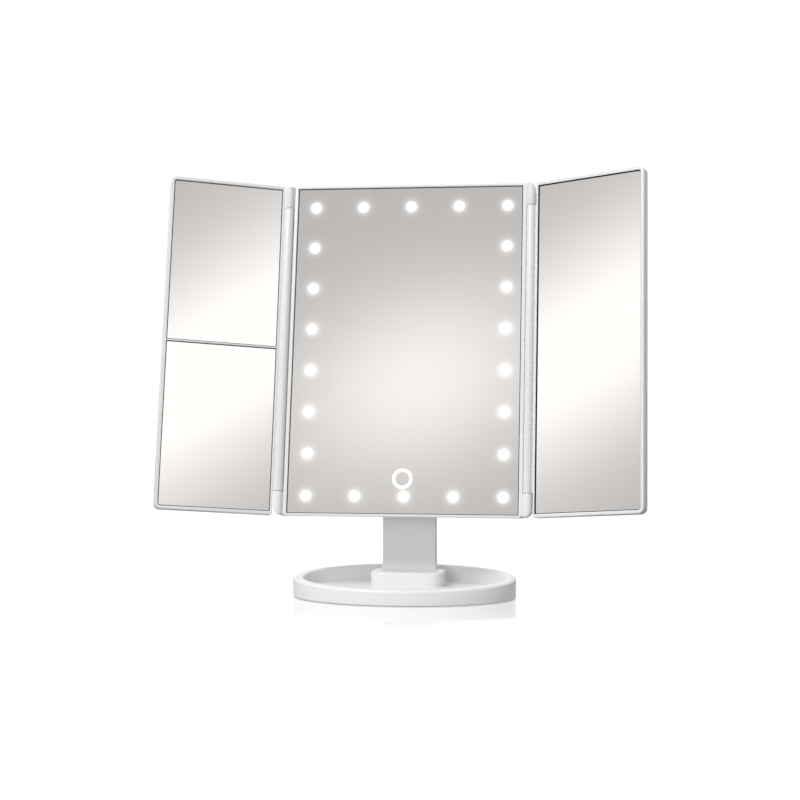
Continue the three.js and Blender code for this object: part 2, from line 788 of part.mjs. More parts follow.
function batteryLead() {
  const x = -bayHalfWidth + bayWall;
  const top = bayMiddle - bayHalfHeight - bayWall - fitGap;
  const bottom = controlBoardLow + controlBoardHeight + fitGap;
  const upperEnd = new THREE.Vector3(x, cellDepth, top);
  const lowerEnd = new THREE.Vector3(x, controlBoardBack, bottom);
  const path = new THREE.LineCurve3(upperEnd, lowerEnd);
  const section = new THREE.Shape();
  section.absarc(0, 0, leadRadius, 0, 2 * Math.PI);
  const lead = new THREE.ExtrudeGeometry(section, { steps: 1, curveSegments: 4, extrudePath: path });
  return solid(lead);
}

// A wing's pieces lie in its own frame: the hinge axis is X 0 and Y 0, and its mirror faces -Y.

function wingOutline(side, inset) {
  const outer = Math.max(wingOuterCorner - inset, 0.5);
  const inner = Math.max(wingInnerCorner - inset, 0.3);
  const low = wingLow + inset;
  const high = wingHigh - inset;
  if (side > 0) {
    return rounded(wingInner + inset, wingOuter - inset, low, high, [inner, outer, outer, inner]);
  }
  return rounded(-wingOuter + inset, -wingInner - inset, low, high, [outer, inner, inner, outer]);
}

function wingFrame(side, hasBar) {
  let frame = slab(wingOutline(side, 0), wingFace, wingCoverFace - fitGap);
  frame = cut(frame, slab(wingOutline(side, wingRim), -overrun, wingGlassBack + fitGap));
  frame = cut(frame, slab(wingOutline(side, wingRim + wingLedge), 0, wingThickness));
  if (hasBar) {
    const inner = side * (wingInner + wingRim / 2);
    const outer = side * (wingOuter - wingRim / 2);
    const bar = wingBar / 2;
    const body = wingBarBody / 2;
    const seat = wingGlassBack + fitGap;
    const back = wingCoverFace - fitGap;
    frame = join(frame, block(inner, outer, wingFace, seat + bite, wingMiddle - bar, wingMiddle + bar));
    frame = join(frame, block(inner, outer, seat, back, wingMiddle - body, wingMiddle + body));
  }
  const barrel = barZ(columnRadius, barrelLow, barrelHigh, 0, 0);
  const webX = side * (wingInner + wingRim / 2);
  const web = block(0, webX, wingFace, columnRadius - fitGap, barrelLow, barrelHigh);
  frame = join(frame, barrel, web);
  for (const end of [-1, 1]) {
    const low = pinBottom(end);
    const bore = pinRadius + pinGap;
    frame = cut(frame, barZ(bore, low - fitGap, low + pinLength + fitGap, 0, 0, smallSides));
  }
  return frame;
}

function wingGlass(side, low, high) {
  const x0 = side * (wingInner + wingRim + fitGap);
  const x1 = side * (wingOuter - wingRim - fitGap);
  const corner = Math.max(wingOuterCorner - wingRim - fitGap, 0.5);
  const plain = 0.3;
  const lowCorner = low < wingMiddle - 10 && low < wingLow + 10 ? corner : plain;
  const highCorner = high > wingHigh - 10 ? corner : plain;
  const corners = side > 0 ? [plain, lowCorner, highCorner, plain] : [lowCorner, plain, plain, highCorner];
  const outline = rounded(Math.min(x0, x1), Math.max(x0, x1), low, high, corners);
  return slab(outline, wingGlassFace, wingGlassBack);
}

function wingBackCover(side) {
  const edge = wingCoverThickness / 2;
  const back = wingFace + wingThickness;
  const whole = slab(wingOutline(side, 0), wingCoverFace - 2 * edge, back, edge);
  const front = block(-2 * wingOuter, 2 * wingOuter, -wingThickness, wingCoverFace, -wingHigh, 2 * wingHigh);
  return cut(whole, front);
}

// The base and neck lie in the frame of the whole mirror.

// The rim follows a slope from front to back and the tray floor stays level.
function trayBowl() {
  const outer = baseDepth / 2;
  const rimRadius = rimWidth / 2;
  const wallFoot = outer - rimWidth - trayFillet;
  const bowl = turned([
    [0, floorUnder],
    [outer - baseWall, floorUnder],
    [outer - baseWall, baseLift],
    [outer - baseEdge, baseLift],
    [outer, baseLift + baseEdge],
    ...arc(outer - rimRadius, rimMiddle - rimRadius, rimRadius, 0, 180, 6),
    ...arc(wallFoot, trayFloor + trayFillet, trayFillet, 0, -90, 3),
    [0, trayFloor],
  ], baseStretch);
  const points = bowl.attributes.position;
  for (let i = 0; i < points.count; i += 1) {
    const z = points.getZ(i);
    if (z > trayFloor + 1.01 * trayFillet) {
      points.setZ(i, z + rimSlope * points.getY(i));
    }
  }
  return solid(bowl);
}

function plinthOutline(inset) {
  const half = plinthWidth / 2 - inset;
  const corner = plinthCorner - inset;
  return rounded(-half, half, plinthFront + inset, plinthBack - inset, [corner, corner, corner, corner]);
}

function baseTray() {
  const plinth = raised(plinthOutline(0), floorUnder + floorThickness / 2, plinthTop, plinthEdge);
  let tray = join(trayBowl(), plinth);
  tray = cut(tray, raised(plinthOutline(baseWall), -overrun, plinthUnder, plinthEdge));
  for (const [x, y] of coverScrewPlaces()) {
    const boss = barZ(coverBossRadius, coverTop + fitGap, plinthUnder + baseWall / 2, x, y, smallSides);
    tray = join(tray, boss);
  }
  for (const [x, y] of coverScrewPlaces()) {
    tray = cut(tray, barZ(coverScrewRadius + pinGap, 0, coverScrewReach + fitGap, x, y, smallSides));
  }
  const slotX = spigotWidth / 2 + fitGap;
  const slotFront = neckFront + spigotInset - fitGap;
  const slotBack = neckBack - spigotInset + fitGap;
  const slot = block(-slotX, slotX, slotFront, slotBack, plinthUnder - overrun, plinthTop + overrun);
  return cut(tray, slot);
}

function coverScrewPlaces() {
  return corners(coverScrewX, coverScrewSpread).map(([x, y]) => [x, y + plinthBehind]);
}

function corners(x, y) {
  return [[-x, -y], [x, -y], [-x, y], [x, y]];
}

function bottomCover() {
  const halfDepth = baseDepth / 2 - baseWall;
  let cover = oval(halfDepth * baseStretch - fitGap, halfDepth - fitGap, coverLow, coverTop);
  for (const [x, y] of corners(footPadX, footPadY)) {
    cover = cut(cover, barZ(footPadRadius + fitGap, 0, coverLow + footRecess, x, y));
  }
  for (const [x, y] of coverScrewPlaces()) {
    cover = cut(cover, barZ(coverScrewRadius + pinGap, 0, coverTop + overrun, x, y, smallSides));
    const sink = coverLow + coverScrewHeadLength / 2 + fitGap;
    cover = cut(cover, barZ(coverScrewHead + pinGap, 0, sink, x, y, smallSides));
  }
  return cover;
}

function coverScrew(x, y) {
  const low = coverLow - coverScrewHeadLength / 2;
  return screwZ(x, y, low, coverScrewHeadLength, coverScrewHead, coverScrewRadius, coverScrewReach);
}

function footPad(x, y) {
  return barZ(footPadRadius, 0, coverLow + footRecess - fitGap, x, y);
}

// The plate lies under the tray floor, round the hollow of the plinth.
function ballastPlate() {
  const low = coverTop + fitGap;
  const high = low + ballastThickness;
  const plate = oval(baseWidth / 2 - ballastInset, plinthBack + ballastRing, low, high);
  return cut(plate, raised(plinthOutline(0), 0, high + 2 * overrun, plinthEdge));
}

function neckFrontShell() {
  const tip = neckFront - footReach;
  const start = neckLow + footEdge + footRise;
  const side = new THREE.Shape();
  side.moveTo(neckBack, neckLow);
  side.lineTo(neckBack, neckTop);
  side.lineTo(neckFront, neckTop);
  side.lineTo(neckFront, start);
  side.absellipse(tip, start, footReach, footRise, 0, -Math.PI / 2, true);
  side.lineTo(tip, neckLow);
  const half = neckWidth / 2;
  let shell = join(profile(side, -half, half), barX(tiltKnuckle, -half, half, neckMiddle, neckTop));
  const pocketX = half - neckWall;
  const pocketFront = neckFront + neckWall;
  shell = cut(shell, block(-pocketX, pocketX, pocketFront, neckBack + overrun, pocketLow, pocketHigh));
  const spigotX = spigotWidth / 2;
  const spigotFront = neckFront + spigotInset;
  const spigotBack = neckBack - spigotInset;
  const spigot = block(-spigotX, spigotX, spigotFront, spigotBack, plinthUnder, neckLow + bite);
  shell = join(shell, spigot);
  shell = cut(shell, barX(tiltShaftRadius + pinGap, -neckWidth, neckWidth, neckMiddle, neckTop));
  for (const x of [-neckScrewSpread, neckScrewSpread]) {
    const hole = neckScrewRadius + pinGap;
    shell = cut(shell, barZ(hole, 0, neckScrewReach + fitGap, x, neckMiddle, smallSides));
  }
  return shell;
}

function neckRearShell() {
  const half = neckWidth / 2 - neckWall - fitGap;
  const front = neckFront + neckWall + corePlateThickness + 2 * fitGap;
  return block(-half, half, front, neckBack, pocketLow + fitGap, pocketHigh - fitGap);
}

function neckCorePlate() {
  const half = neckWidth / 2 - neckWall - fitGap;
  const front = neckFront + neckWall + fitGap;
  return block(-half, half, front, front + corePlateThickness, pocketLow + fitGap, pocketHigh - fitGap);
}

function anchorBracket() {
  const high = plinthUnder - fitGap;
  const low = high - bracketThickness;
  let plate = block(-bracketWidth / 2, bracketWidth / 2, bracketFront, bracketBack, low, high);
  for (const x of [-neckScrewSpread, neckScrewSpread]) {
    plate = cut(plate, barZ(neckScrewRadius + pinGap, 0, neckScrewReach, x, neckMiddle, smallSides));
  }
  return plate;
}

function neckScrew(x) {
  const low = plinthUnder - bracketThickness - 2 * fitGap - neckScrewHeadLength;
  return screwZ(x, neckMiddle, low, neckScrewHeadLength, neckScrewHead, neckScrewRadius, neckScrewReach);
}

// The tilt hinge lies on the axis at the top of the neck.

function tiltShaft() {
  const headEnd = -lugOuter - fitGap;
  const tail = lugOuter + fitGap + nutLength + shaftTail;
  const rodBody = barX(tiltShaftRadius, headEnd - shaftHeadLength / 2, tail, neckMiddle, neckTop);
  return join(rodBody, barX(shaftHeadRadius, headEnd - shaftHeadLength, headEnd, neckMiddle, neckTop));
}

function tiltNut() {
  const inner = lugOuter + fitGap;
  const nut = barX(nutRadius, inner, inner + nutLength, neckMiddle, neckTop, 6);
  const far = inner + nutLength + overrun;
  return cut(nut, barX(tiltShaftRadius + pinGap, inner - overrun, far, neckMiddle, neckTop));
}

function frictionWasher(side) {
  const inner = side * (neckWidth / 2 + fitGap);
  const outer = inner + side * washerThickness;
  const low = Math.min(inner, outer);
  const ring = barX(washerRadius, low, low + washerThickness, neckMiddle, neckTop);
  const far = low + washerThickness + overrun;
  const hole = barX(tiltShaftRadius + pinGap, low - overrun, far, neckMiddle, neckTop);
  return cut(ring, hole);
}

// Assembly

function addBase(parent) {
  piece(parent, 'base_tray', baseTray(), whiteGloss);
  piece(parent, 'bottom_cover', bottomCover(), whiteSatin);
  piece(parent, 'ballast_plate', ballastPlate(), greySteel);
  corners(footPadX, footPadY).forEach(([x, y], i) => {
    piece(parent, `rubber_foot_${i + 1}`, footPad(x, y), greyRubber);
  });
  coverScrewPlaces().forEach(([x, y], i) => {
    piece(parent, `cover_screw_${i + 1}`, coverScrew(x, y), brightSteel);
  });
}

function addNeck(parent) {
  piece(parent, 'neck_front_shell', neckFrontShell(), whiteGloss);
  piece(parent, 'neck_rear_shell', neckRearShell(), whiteGloss);
  piece(parent, 'neck_core_plate', neckCorePlate(), greySteel);
  piece(parent, 'anchor_bracket', anchorBracket(), greySteel);
  piece(parent, 'neck_screw_left', neckScrew(-neckScrewSpread), brightSteel);
  piece(parent, 'neck_screw_right', neckScrew(neckScrewSpread), brightSteel);
  piece(parent, 'tilt_shaft', tiltShaft(), brightSteel);
  piece(parent, 'tilt_nut', tiltNut(), brightSteel);
  piece(parent, 'friction_washer_left', frictionWasher(-1), blackPlastic);
  piece(parent, 'friction_washer_right', frictionWasher(1), blackPlastic);
}

function addHead(parent) {
  piece(parent, 'centre_frame', centreFrame(), whiteGloss);
  piece(parent, 'centre_mirror', centreMirror(), mirrorFinish);
  piece(parent, 'touch_ring', touchRing(), lightWindow);
  piece(parent, 'light_diffuser', lightDiffuser(), lightWindow);
  piece(parent, 'led_board', ledBoard(), boardGreen);
  piece(parent, 'touch_sensor', touchSensor(), brightSteel);
  piece(parent, 'control_board', controlBoard(), boardGreen);
  piece(parent, 'board_connector', boardConnector(), blackPlastic);
  piece(parent, 'rear_housing', rearHousing(), whiteGloss);
  piece(parent, 'power_inlet', powerInlet(), brightSteel);
  piece(parent, 'switch_body', switchBody(), blackPlastic);
  piece(parent, 'switch_knob', switchKnob(), blackPlastic);
  piece(parent, 'battery_door', batteryDoor(), whiteGloss);
  piece(parent, 'contact_strip_left', contactStrip(-1), brightSteel);
  piece(parent, 'contact_strip_right', contactStrip(1), brightSteel);
  piece(parent, 'battery_lead', batteryLead(), redWire);
  for (let i = 0; i < cellCount; i += 1) {
    piece(parent, `battery_cell_${i + 1}`, batteryCell(i), cellJacket);
  }
  for (const [side, word] of [[-1, 'left'], [1, 'right']]) {
    piece(parent, `housing_screw_${word}_low`, housingScrew(side, housingScrewLow), brightSteel);
    piece(parent, `housing_screw_${word}_high`, housingScrew(side, housingScrewHigh), brightSteel);
    piece(parent, `hinge_pin_${word}_low`, hingePin(side, -1), brightSteel);
    piece(parent, `hinge_pin_${word}_high`, hingePin(side, 1), brightSteel);
  }
}

function addWing(parent, side) {
  const word = side < 0 ? 'left' : 'right';
  const glassLow = wingLow + wingRim + fitGap;
  const glassHigh = wingHigh - wingRim - fitGap;
  piece(parent, `${word}_wing_frame`, wingFrame(side, side < 0), whiteGloss);
  piece(parent, `${word}_wing_back_cover`, wingBackCover(side), whiteGloss);
  if (side < 0) {
    const half = wingBar / 2 + fitGap;
    piece(parent, 'left_upper_mirror', wingGlass(side, wingMiddle + half, glassHigh), mirrorFinish);
    piece(parent, 'left_lower_mirror', wingGlass(side, glassLow, wingMiddle - half), mirrorFinish);
  } else {
    piece(parent, 'right_mirror', wingGlass(side, glassLow, glassHigh), mirrorFinish);
  }
}

const mirror = new THREE.Group();
addBase(mirror);
addNeck(mirror);

// The head turns on the tilt axis, so that point of it is held at the top of the neck.
const headPivot = new THREE.Group();
headPivot.position.set(0, neckMiddle, neckTop);
headPivot.rotation.x = THREE.MathUtils.degToRad(-headLean);
mirror.add(headPivot);

const head = new THREE.Group();
head.position.set(0, -tiltDepth, -tiltHeight);
headPivot.add(head);
addHead(head);

for (const side of [-1, 1]) {
  const wing = new THREE.Group();
  wing.position.set(side * hingeX, -hingeForward, 0);
  wing.rotation.z = THREE.MathUtils.degToRad(side < 0 ? leftWingOpen : -rightWingOpen);
  head.add(wing);
  addWing(wing, side);
}

mirror.updateMatrixWorld(true);

export default mirror;
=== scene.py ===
"""Lighted makeup mirror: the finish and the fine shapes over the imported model."""

from math import asin, copysign, cos, degrees, pi, radians, sin, sqrt

import bmesh
import bpy
from mathutils import Matrix, Vector


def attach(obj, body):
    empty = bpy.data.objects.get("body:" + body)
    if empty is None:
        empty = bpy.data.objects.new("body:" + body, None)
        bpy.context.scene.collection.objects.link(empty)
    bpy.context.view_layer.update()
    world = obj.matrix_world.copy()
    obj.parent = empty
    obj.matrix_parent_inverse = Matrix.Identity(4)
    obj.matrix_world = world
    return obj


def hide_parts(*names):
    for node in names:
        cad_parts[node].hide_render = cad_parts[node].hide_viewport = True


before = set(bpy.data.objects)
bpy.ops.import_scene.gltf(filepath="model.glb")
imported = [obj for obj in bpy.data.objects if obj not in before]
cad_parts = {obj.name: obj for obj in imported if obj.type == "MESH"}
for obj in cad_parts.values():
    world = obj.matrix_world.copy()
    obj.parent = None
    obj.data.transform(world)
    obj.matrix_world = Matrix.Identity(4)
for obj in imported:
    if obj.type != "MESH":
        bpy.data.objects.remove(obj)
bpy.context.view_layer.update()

MM = 0.001  # sizes below are in millimetres
MERGE = 0.001  # points nearer than this are one point
NEAR = 0.01  # an edge this close to a plane lies in it
SHARP = 60  # degrees that the surface turns at a sharp edge
BORE_GAP = 0.25
SMALL_ROUND = 0.35

# Centre mirror and head
HEAD_LEAN = 11
TILT_DEPTH = 23  # glass face to tilt axis
TILT_HEIGHT = 92.1  # lower edge of the glass to tilt axis
GLASS_HALF = 77.5
GLASS_HEIGHT = 225
GLASS_THICKNESS = 3
GLASS_BEVEL = 0.25
GLASS_GAP = 0.05  # how far the seen glass is smaller than its seat, besides the fit
SEAT_GAP = 0.3
RIM_HALF = 80.5
RIM_PROUD = 1.4
RIM_ROUNDING = 0.9
HEAD_HALF = 86.4
HEAD_LOW = -2.1
HEAD_HIGH = 227.1
HEAD_DEPTH = 17
HEAD_CORNER = 6
HEAD_WALL = 2
HEAD_BACK_EDGE = 4
END_TAPER = 0.12  # how much the ends draw in, per unit of depth
PARTING_DEPTH = 9
SHELF_DEPTH = 1.7
LEDGE = 2.8
BOARD_DEPTH = 7.5

# Light windows and touch ring
WINDOW_RADIUS = 4.0
WINDOW_COLUMNS = 5
WINDOW_ROWS = 8
WINDOW_SIDE = 66.2
WINDOW_SHIFT = 1.2
WINDOW_LOW = 11.7
WINDOW_HIGH = 211.6
WINDOW_PITCH_X = 2 * WINDOW_SIDE / (WINDOW_COLUMNS - 1)
WINDOW_PITCH_Z = (WINDOW_HIGH - WINDOW_LOW) / (WINDOW_ROWS - 1)
HOLE_DEPTH = 0.8
GROOVE_DEPTH = 0.4
INLAY_GAP = 0.03  # round the window and the touch mark
INLAY_DEPTH = 0.05  # from the face of the glass to theirs
TOUCH_HEIGHT = 23.6
TOUCH_OUTER = 6.85
TOUCH_INNER = 4.7
TOUCH_DEPTH = 0.6
DIFFUSER_BAR = 15
DIFFUSER_FOOT = 33
DIFFUSER_BACK = 4.5

# Wings
HINGE_X = 83.5
HINGE_FORWARD = 1.8
COLUMN_RADIUS = 2.9
KNUCKLE_LENGTH = 16.2
KNUCKLE_DROP = 1.2  # how far its round end stays inside the end of the head
KNUCKLE_ROOT = -15  # degrees from the hinge axis to where the round front meets the rim
KNUCKLE_OVERLAP = 0.6  # with the rim
KNUCKLE_RISES = (0.25, 0.45, 0.8, 1.0, 1.0, 1.2, 1.3)  # steps that follow the head's corner
LEFT_WING_OPEN = 21.7
RIGHT_WING_OPEN = 23.7
WING_INNER = 3.5
WING_OUTER = 82.15
WING_LOW = -1.7
WING_HIGH = 226.7
WING_MIDDLE = (WING_LOW + WING_HIGH) / 2
WING_FACE = 0.3
WING_BACK = 7.0
WING_PARTING = 5.3
WING_RIM = 2.3
WING_HINGE_RIM = 1.4  # the rim is narrower beside the hinge
WING_ROUNDING = 0.6
WING_INNER_ROUND = 0.25
WING_BACK_ROUND = 0.8
WING_OUTER_CORNER = 4
WING_INNER_CORNER = 1.5
WING_GLASS_DROP = 1.4
WING_GLASS_THICKNESS = 1.8
WING_BAR = 1.0
WING_GLASS_INSET = WING_RIM + SEAT_GAP + GLASS_GAP

# Battery bay and its door
BAY_MIDDLE = 156
BAY_HALF_WIDTH = 25.95
BAY_HALF_HEIGHT = 21.75
BAY_DEPTH = 6.5
BAY_WALL = 1.5
CELL_RADIUS = 5.25
CELL_HALF = 22.25
CELL_NUB_RADIUS = 1.9
CELL_NUB_LENGTH = 1
CELL_CRIMP = 0.5
CELL_PITCH = 10.8
CELL_DEPTH = 12.05
DOOR_INSIDE = 17.6
DOOR_OUTSIDE = 19.2
DOOR_HALF = 26.95
DOOR_TONGUE = 1.5
TONGUE_BACK = (DOOR_INSIDE + DOOR_OUTSIDE) / 2
DOOR_LOW = 126.25
DOOR_HIGH = 185.75
HUMP_MARGIN = 3
HUMP_CORNER = 4
HUMP_ROUND = 0.9
GRIP_HEIGHT = 136.25
GRIP_RADIUS = 5
GRIP_DEPTH = 0.5
GRIP_PITCH = 1.6

# Switch, power inlet and screws of the head
FITTING_SPREAD = 45
FITTING_HEIGHT = 19
INLET_WIDTH = 9
INLET_HEIGHT = 3.3
INLET_FRONT = 12.3
INLET_MOUTH = 16.8
INLET_WALL = 0.4
KNOB_X = -43
KNOB_WIDTH = 3.4
KNOB_HEIGHT = 2.8
KNOB_TRAVEL = 4
KNOB_BACK = 18.2
LETTER_HEIGHT = 2.6
LETTER_PROUD = 0.12
HOUSING_SCREW_X = 82.3
HOUSING_SCREW_HEIGHTS = (30, 195)
HOUSING_SCREW_SEAT = 14
HOUSING_SCREW_HEAD = 2
HOUSING_SCREW_CAP = 1.3
HOUSING_SCREW_BACK = 15.6
HOUSING_SCREW_SHANK = 1
HOUSING_POST = 2.6
BOARD_POST = 2
BOARD_POST_SPREAD = 30

# Tilt hinge
TILT_SHAFT = 2.5
TILT_KNUCKLE = 5.2
LUG_INNER = 19.7
LUG_OUTER = 25.7
LUG_SPREAD = 8
LUG_ROUND = 0.6
WASHER_RADIUS = 4.8
WASHER_THICKNESS = 1
WASHER_GAP = 0.15  # from the shaft to a washer or the nut
NUT_RADIUS = 4.6
NUT_LENGTH = 3
SHAFT_HEAD_RADIUS = 4.2
SHAFT_HEAD_LENGTH = 2
SHAFT_TAIL = 0.6

# Neck
NECK_WIDTH = 36.2
NECK_FRONT = 24
NECK_BACK = 30.2
NECK_MIDDLE = (NECK_FRONT + NECK_BACK) / 2
NECK_TOP = 142.4
NECK_WALL = 2
NECK_FACE_WIDTH = 30  # the flat of its face, between two shallow slopes
NECK_FACE_SLOPE = 0.45
NECK_SLOPE_FROM = 1  # height above the plinth where the slopes begin
NECK_SLOPE_RISE = 6
NECK_EDGE = 0.3
POCKET_LOW = 28
POCKET_HIGH = 135.2
POCKET_CORNER = 1.5
REAR_SHELL_FRONT = 28.4
FOOT_REACH = 3.4
FOOT_RISE = 9
FOOT_EDGE = 0.2
FOOT_GAP = 0.04  # from the plinth to the foot
FOOT_FLARE = 0.5  # how much the foot widens at its lower edge

# Base
BASE_WIDTH = 150
BASE_DEPTH = 103
RIM_FRONT = 10.2
RIM_BACK = 16.9
RIM_WIDTH = 4.8
RIM_OUTER_ROUND = 1.7
RIM_INNER_ROUND = 1.0
TRAY_FLOOR = 5.3
TRAY_UNDER = 4.0
TRAY_FILLET = 1.2
BASE_WALL = 2
BASE_LIFT = 0.4
PLINTH_HALF = 24.5
PLINTH_FRONT = 5
PLINTH_BACK = 37
PLINTH_MIDDLE = (PLINTH_FRONT + PLINTH_BACK) / 2
PLINTH_TOP = 15.2
PLINTH_CORNER = 8
PLINTH_EDGE = 1.2
PLINTH_FILLET = 0.8
COVER_LOW = 0.8
COVER_TOP = 1.8
COVER_SCREW_X = 18.5
COVER_SCREW_SPREAD = 10
COVER_SCREW_LOW = 0.5
COVER_SCREW_HEAD = 2.2
COVER_SCREW_CAP = 0.6
COVER_SCREW_SHANK = 1.1
COVER_SCREW_LENGTH = 7.5
FOOT_PAD_RADIUS = 5
FOOT_PAD_X = 44
FOOT_PAD_Y = 29
FOOT_PAD_TOP = 1.0
FOOT_PAD_ROUND = 0.3
FOOT_GROOVE = (2.6, 3.35, 0.15)  # inner and outer radius, and depth

# Materials and light
TONE_EDGES = (0.35, 0.65)  # parts of a noise between which one tone turns into the other
FAR_FROM_LIGHT = 100.0  # added in the middle of the glass, which has no windows
WINDOW_FADE_FROM = 2.4  # millimetres from the middle of a window
WINDOW_GLOW = 0.68
WINDOW_EDGE_GLOW = 0.44
HALO_GLOW = 0.27
HALO_REACH = 1.5  # millimetres
FLOOR_TONE = 0.25
FLOOR_LIFT = 0.85
FLOOR_SHEEN = 0.5
FLOOR_BLUR = 0.1
SHEEN_FADE = (0.115, 0.16)  # metres from the middle of the base
ROOM_LEVEL = 0.54
ROOM_LIMIT = 1.12
BEHIND_EDGE = (-0.3, 0.0)  # how far backwards a direction points where mirrors begin to see white
BACK_GAIN = 0.8
BACK_EDGE = (0.3, 0.75)  # how far backwards a direction points where the room turns brighter
CEILING_GAIN = 1.2
CEILING_EDGE = (35, 60)  # degrees of elevation between which the room turns brighter
DIFFUSE_LEVEL = 0.54

# Soft banks of light that the mirrors look at, in degrees: azimuth from the front to the right,
# elevation, lean of the bank, half width, half height, and how far it is brighter than the room
LIGHT_BANKS = (
    (30.5, 21.1, 0.48, 14.0, 4.0, 0.7),
    (-8.2, 21.9, 0.21, 5.0, 3.4, 0.46),
    (-51.6, 19.4, 0.75, 10.0, 4.4, 0.66),
)

# Lamps: azimuth and elevation in degrees, distance and size in metres, power in watts
KEY_LAMP = (-30, 42, 4.0, 1.1, 70)
FILL_LAMP = (-12, 8, 3.5, 1.2, 22)
LAMP_AIM = (0, 0, 0.1)

# Camera at the photo's angle
CAMERA_LENS = 74.33
CAMERA_PLACE = (0.1560, -1.0961, 0.1426)  # metres
CAMERA_TURN = (89.444, 0, 8.24)  # degrees

# Places of the frames that the pieces are drawn in
STAND = Matrix()
HEAD = (
    Matrix.Translation((0, NECK_MIDDLE, NECK_TOP))
    @ Matrix.Rotation(radians(-HEAD_LEAN), 4, "X")
    @ Matrix.Translation((0, -TILT_DEPTH, -TILT_HEIGHT))
)
SIDES = ((-1, "left"), (1, "right"))


def wing_place(side):
    opened = LEFT_WING_OPEN if side < 0 else -RIGHT_WING_OPEN
    swing = Matrix.Rotation(radians(opened), 4, "Z")
    return HEAD @ Matrix.Translation((side * HINGE_X, -HINGE_FORWARD, 0)) @ swing


# The place that each body's pieces are drawn in
BODY_PLACES = {
    "stand": STAND,
    "head": HEAD,
    "battery_door": HEAD,
    "switch_knob": HEAD,
    "left_wing": wing_place(-1),
    "right_wing": wing_place(1),
}


def facing_front(x, y, z):
    """Place of a shape drawn in X and Y, turned to face the front."""
    return Matrix.Translation((x, y, z)) @ Matrix.Rotation(radians(90), 4, "X")


def facing_back(x, y, z):
    """Place of a shape drawn in X and Y, turned to face the back and read from there."""
    turn = Matrix.Rotation(radians(180), 4, "Z") @ Matrix.Rotation(radians(90), 4, "X")
    return Matrix.Translation((x, y, z)) @ turn


def along_x(x, y, z):
    """Place of a shape turned about Z, laid along X."""
    return Matrix.Translation((x, y, z)) @ Matrix.Rotation(radians(90), 4, "Y")


# Mesh tools


def faces_out(part):
    """Turns every face to the outside."""
    bmesh.ops.recalc_face_normals(part, faces=part.faces)
    return part


def moved(part, place):
    bmesh.ops.transform(part, matrix=place, verts=part.verts)
    return part


def stretched(part, across):
    """Scales a part along X."""
    bmesh.ops.scale(part, vec=(across, 1, 1), verts=part.verts)
    return part


def mesh_of(part, name):
    """Mesh with the faces of a part, which is used up."""
    mesh = bpy.data.meshes.new(name)
    part.to_mesh(mesh)
    part.free()
    return mesh


def scene_object(name, data):
    made = bpy.data.objects.new(name, data)
    bpy.context.scene.collection.objects.link(made)
    return made


def finished_part(made):
    """Part with the final shape of an object."""
    graph = bpy.context.evaluated_depsgraph_get()
    mesh = bpy.data.meshes.new_from_object(made.evaluated_get(graph))
    part = bmesh.new()
    part.from_mesh(mesh)
    bpy.data.meshes.remove(mesh)
    bmesh.ops.remove_doubles(part, verts=part.verts, dist=MERGE)
    return part


def merge(target, part):
    """Adds one part to another."""
    mesh = mesh_of(part, "part")
    target.from_mesh(mesh)
    bpy.data.meshes.remove(mesh)


def flat_part(points):
    """Part with one flat face through the points."""
    part = bmesh.new()
    part.faces.new([part.verts.new(point) for point in points])
    return part


def extrude(part, faces, move):
    """Draws faces out and returns the moved faces."""
    made = bmesh.ops.extrude_face_region(part, geom=faces)["geom"]
    verts = [item for item in made if isinstance(item, bmesh.types.BMVert)]
    bmesh.ops.translate(part, vec=move, verts=verts)
    return [item for item in made if isinstance(item, bmesh.types.BMFace)]


def outline_face(corners, radii, steps):
    """One flat face with a radius at each corner."""
    part = flat_part(corners)
    for vert, radius in zip(part.verts[:], radii):
        if radius:
            bmesh.ops.bevel(
                part, geom=[vert], offset=radius, offset_type="OFFSET", affect="VERTICES",
                segments=steps, profile=0.5, material=-1,
            )
    return part


def plate(x0, x1, z0, z1, front, back, radii=(0, 0, 0, 0)):
    """Upright plate with a radius for each corner: low left, low right, high right, high left."""
    corners = ((x0, front, z0), (x1, front, z0), (x1, front, z1), (x0, front, z1))
    part = outline_face(corners, radii, 8)
    extrude(part, part.faces[:], (0, back - front, 0))
    return faces_out(part)


def box(x0, x1, y0, y1, z0, z1):
    return plate(x0, x1, z0, z1, y0, y1)


def middle_plate(x, z, half, rise, front, back, corner=0):
    """Upright plate from its middle, half its width and half its height."""
    return plate(x - half, x + half, z - rise, z + rise, front, back, (corner,) * 4)


def raised_block(x0, x1, y0, y1, z0, radius, rises):
    """Level outline raised in steps of inset and height, from its lowest face up."""
    corners = ((x0, y0, z0), (x1, y0, z0), (x1, y1, z0), (x0, y1, z0))
    part = outline_face(corners, (radius,) * 4, 10)
    faces = extrude(part, part.faces[:], (0, 0, rises[0][1]))
    faces_out(part)
    for inset, rise in rises[1:]:
        if inset:
            bmesh.ops.inset_region(
                part, faces=faces, thickness=inset, depth=rise, use_even_offset=True
            )
        else:
            faces = extrude(part, faces, (0, 0, rise))
    return faces_out(part)


def corner_steps(radius, steps, hollow=False):
    """Steps of inset and height that follow a quarter round."""
    angles = [radians(90 * i / steps) for i in range(steps + 1)]
    if hollow:
        points = [(radius * sin(a), radius * (1 - cos(a))) for a in angles]
    else:
        points = [(radius * (1 - cos(a)), radius * sin(a)) for a in angles]
    return [(b[0] - a[0], b[1] - a[1]) for a, b in zip(points, points[1:])]


def arc(across, up, radius, start, end, steps):
    """Points of a round corner, from one angle to another in degrees."""
    angles = [radians(start + (end - start) * i / steps) for i in range(steps + 1)]
    return [(across + radius * cos(a), up + radius * sin(a)) for a in angles]


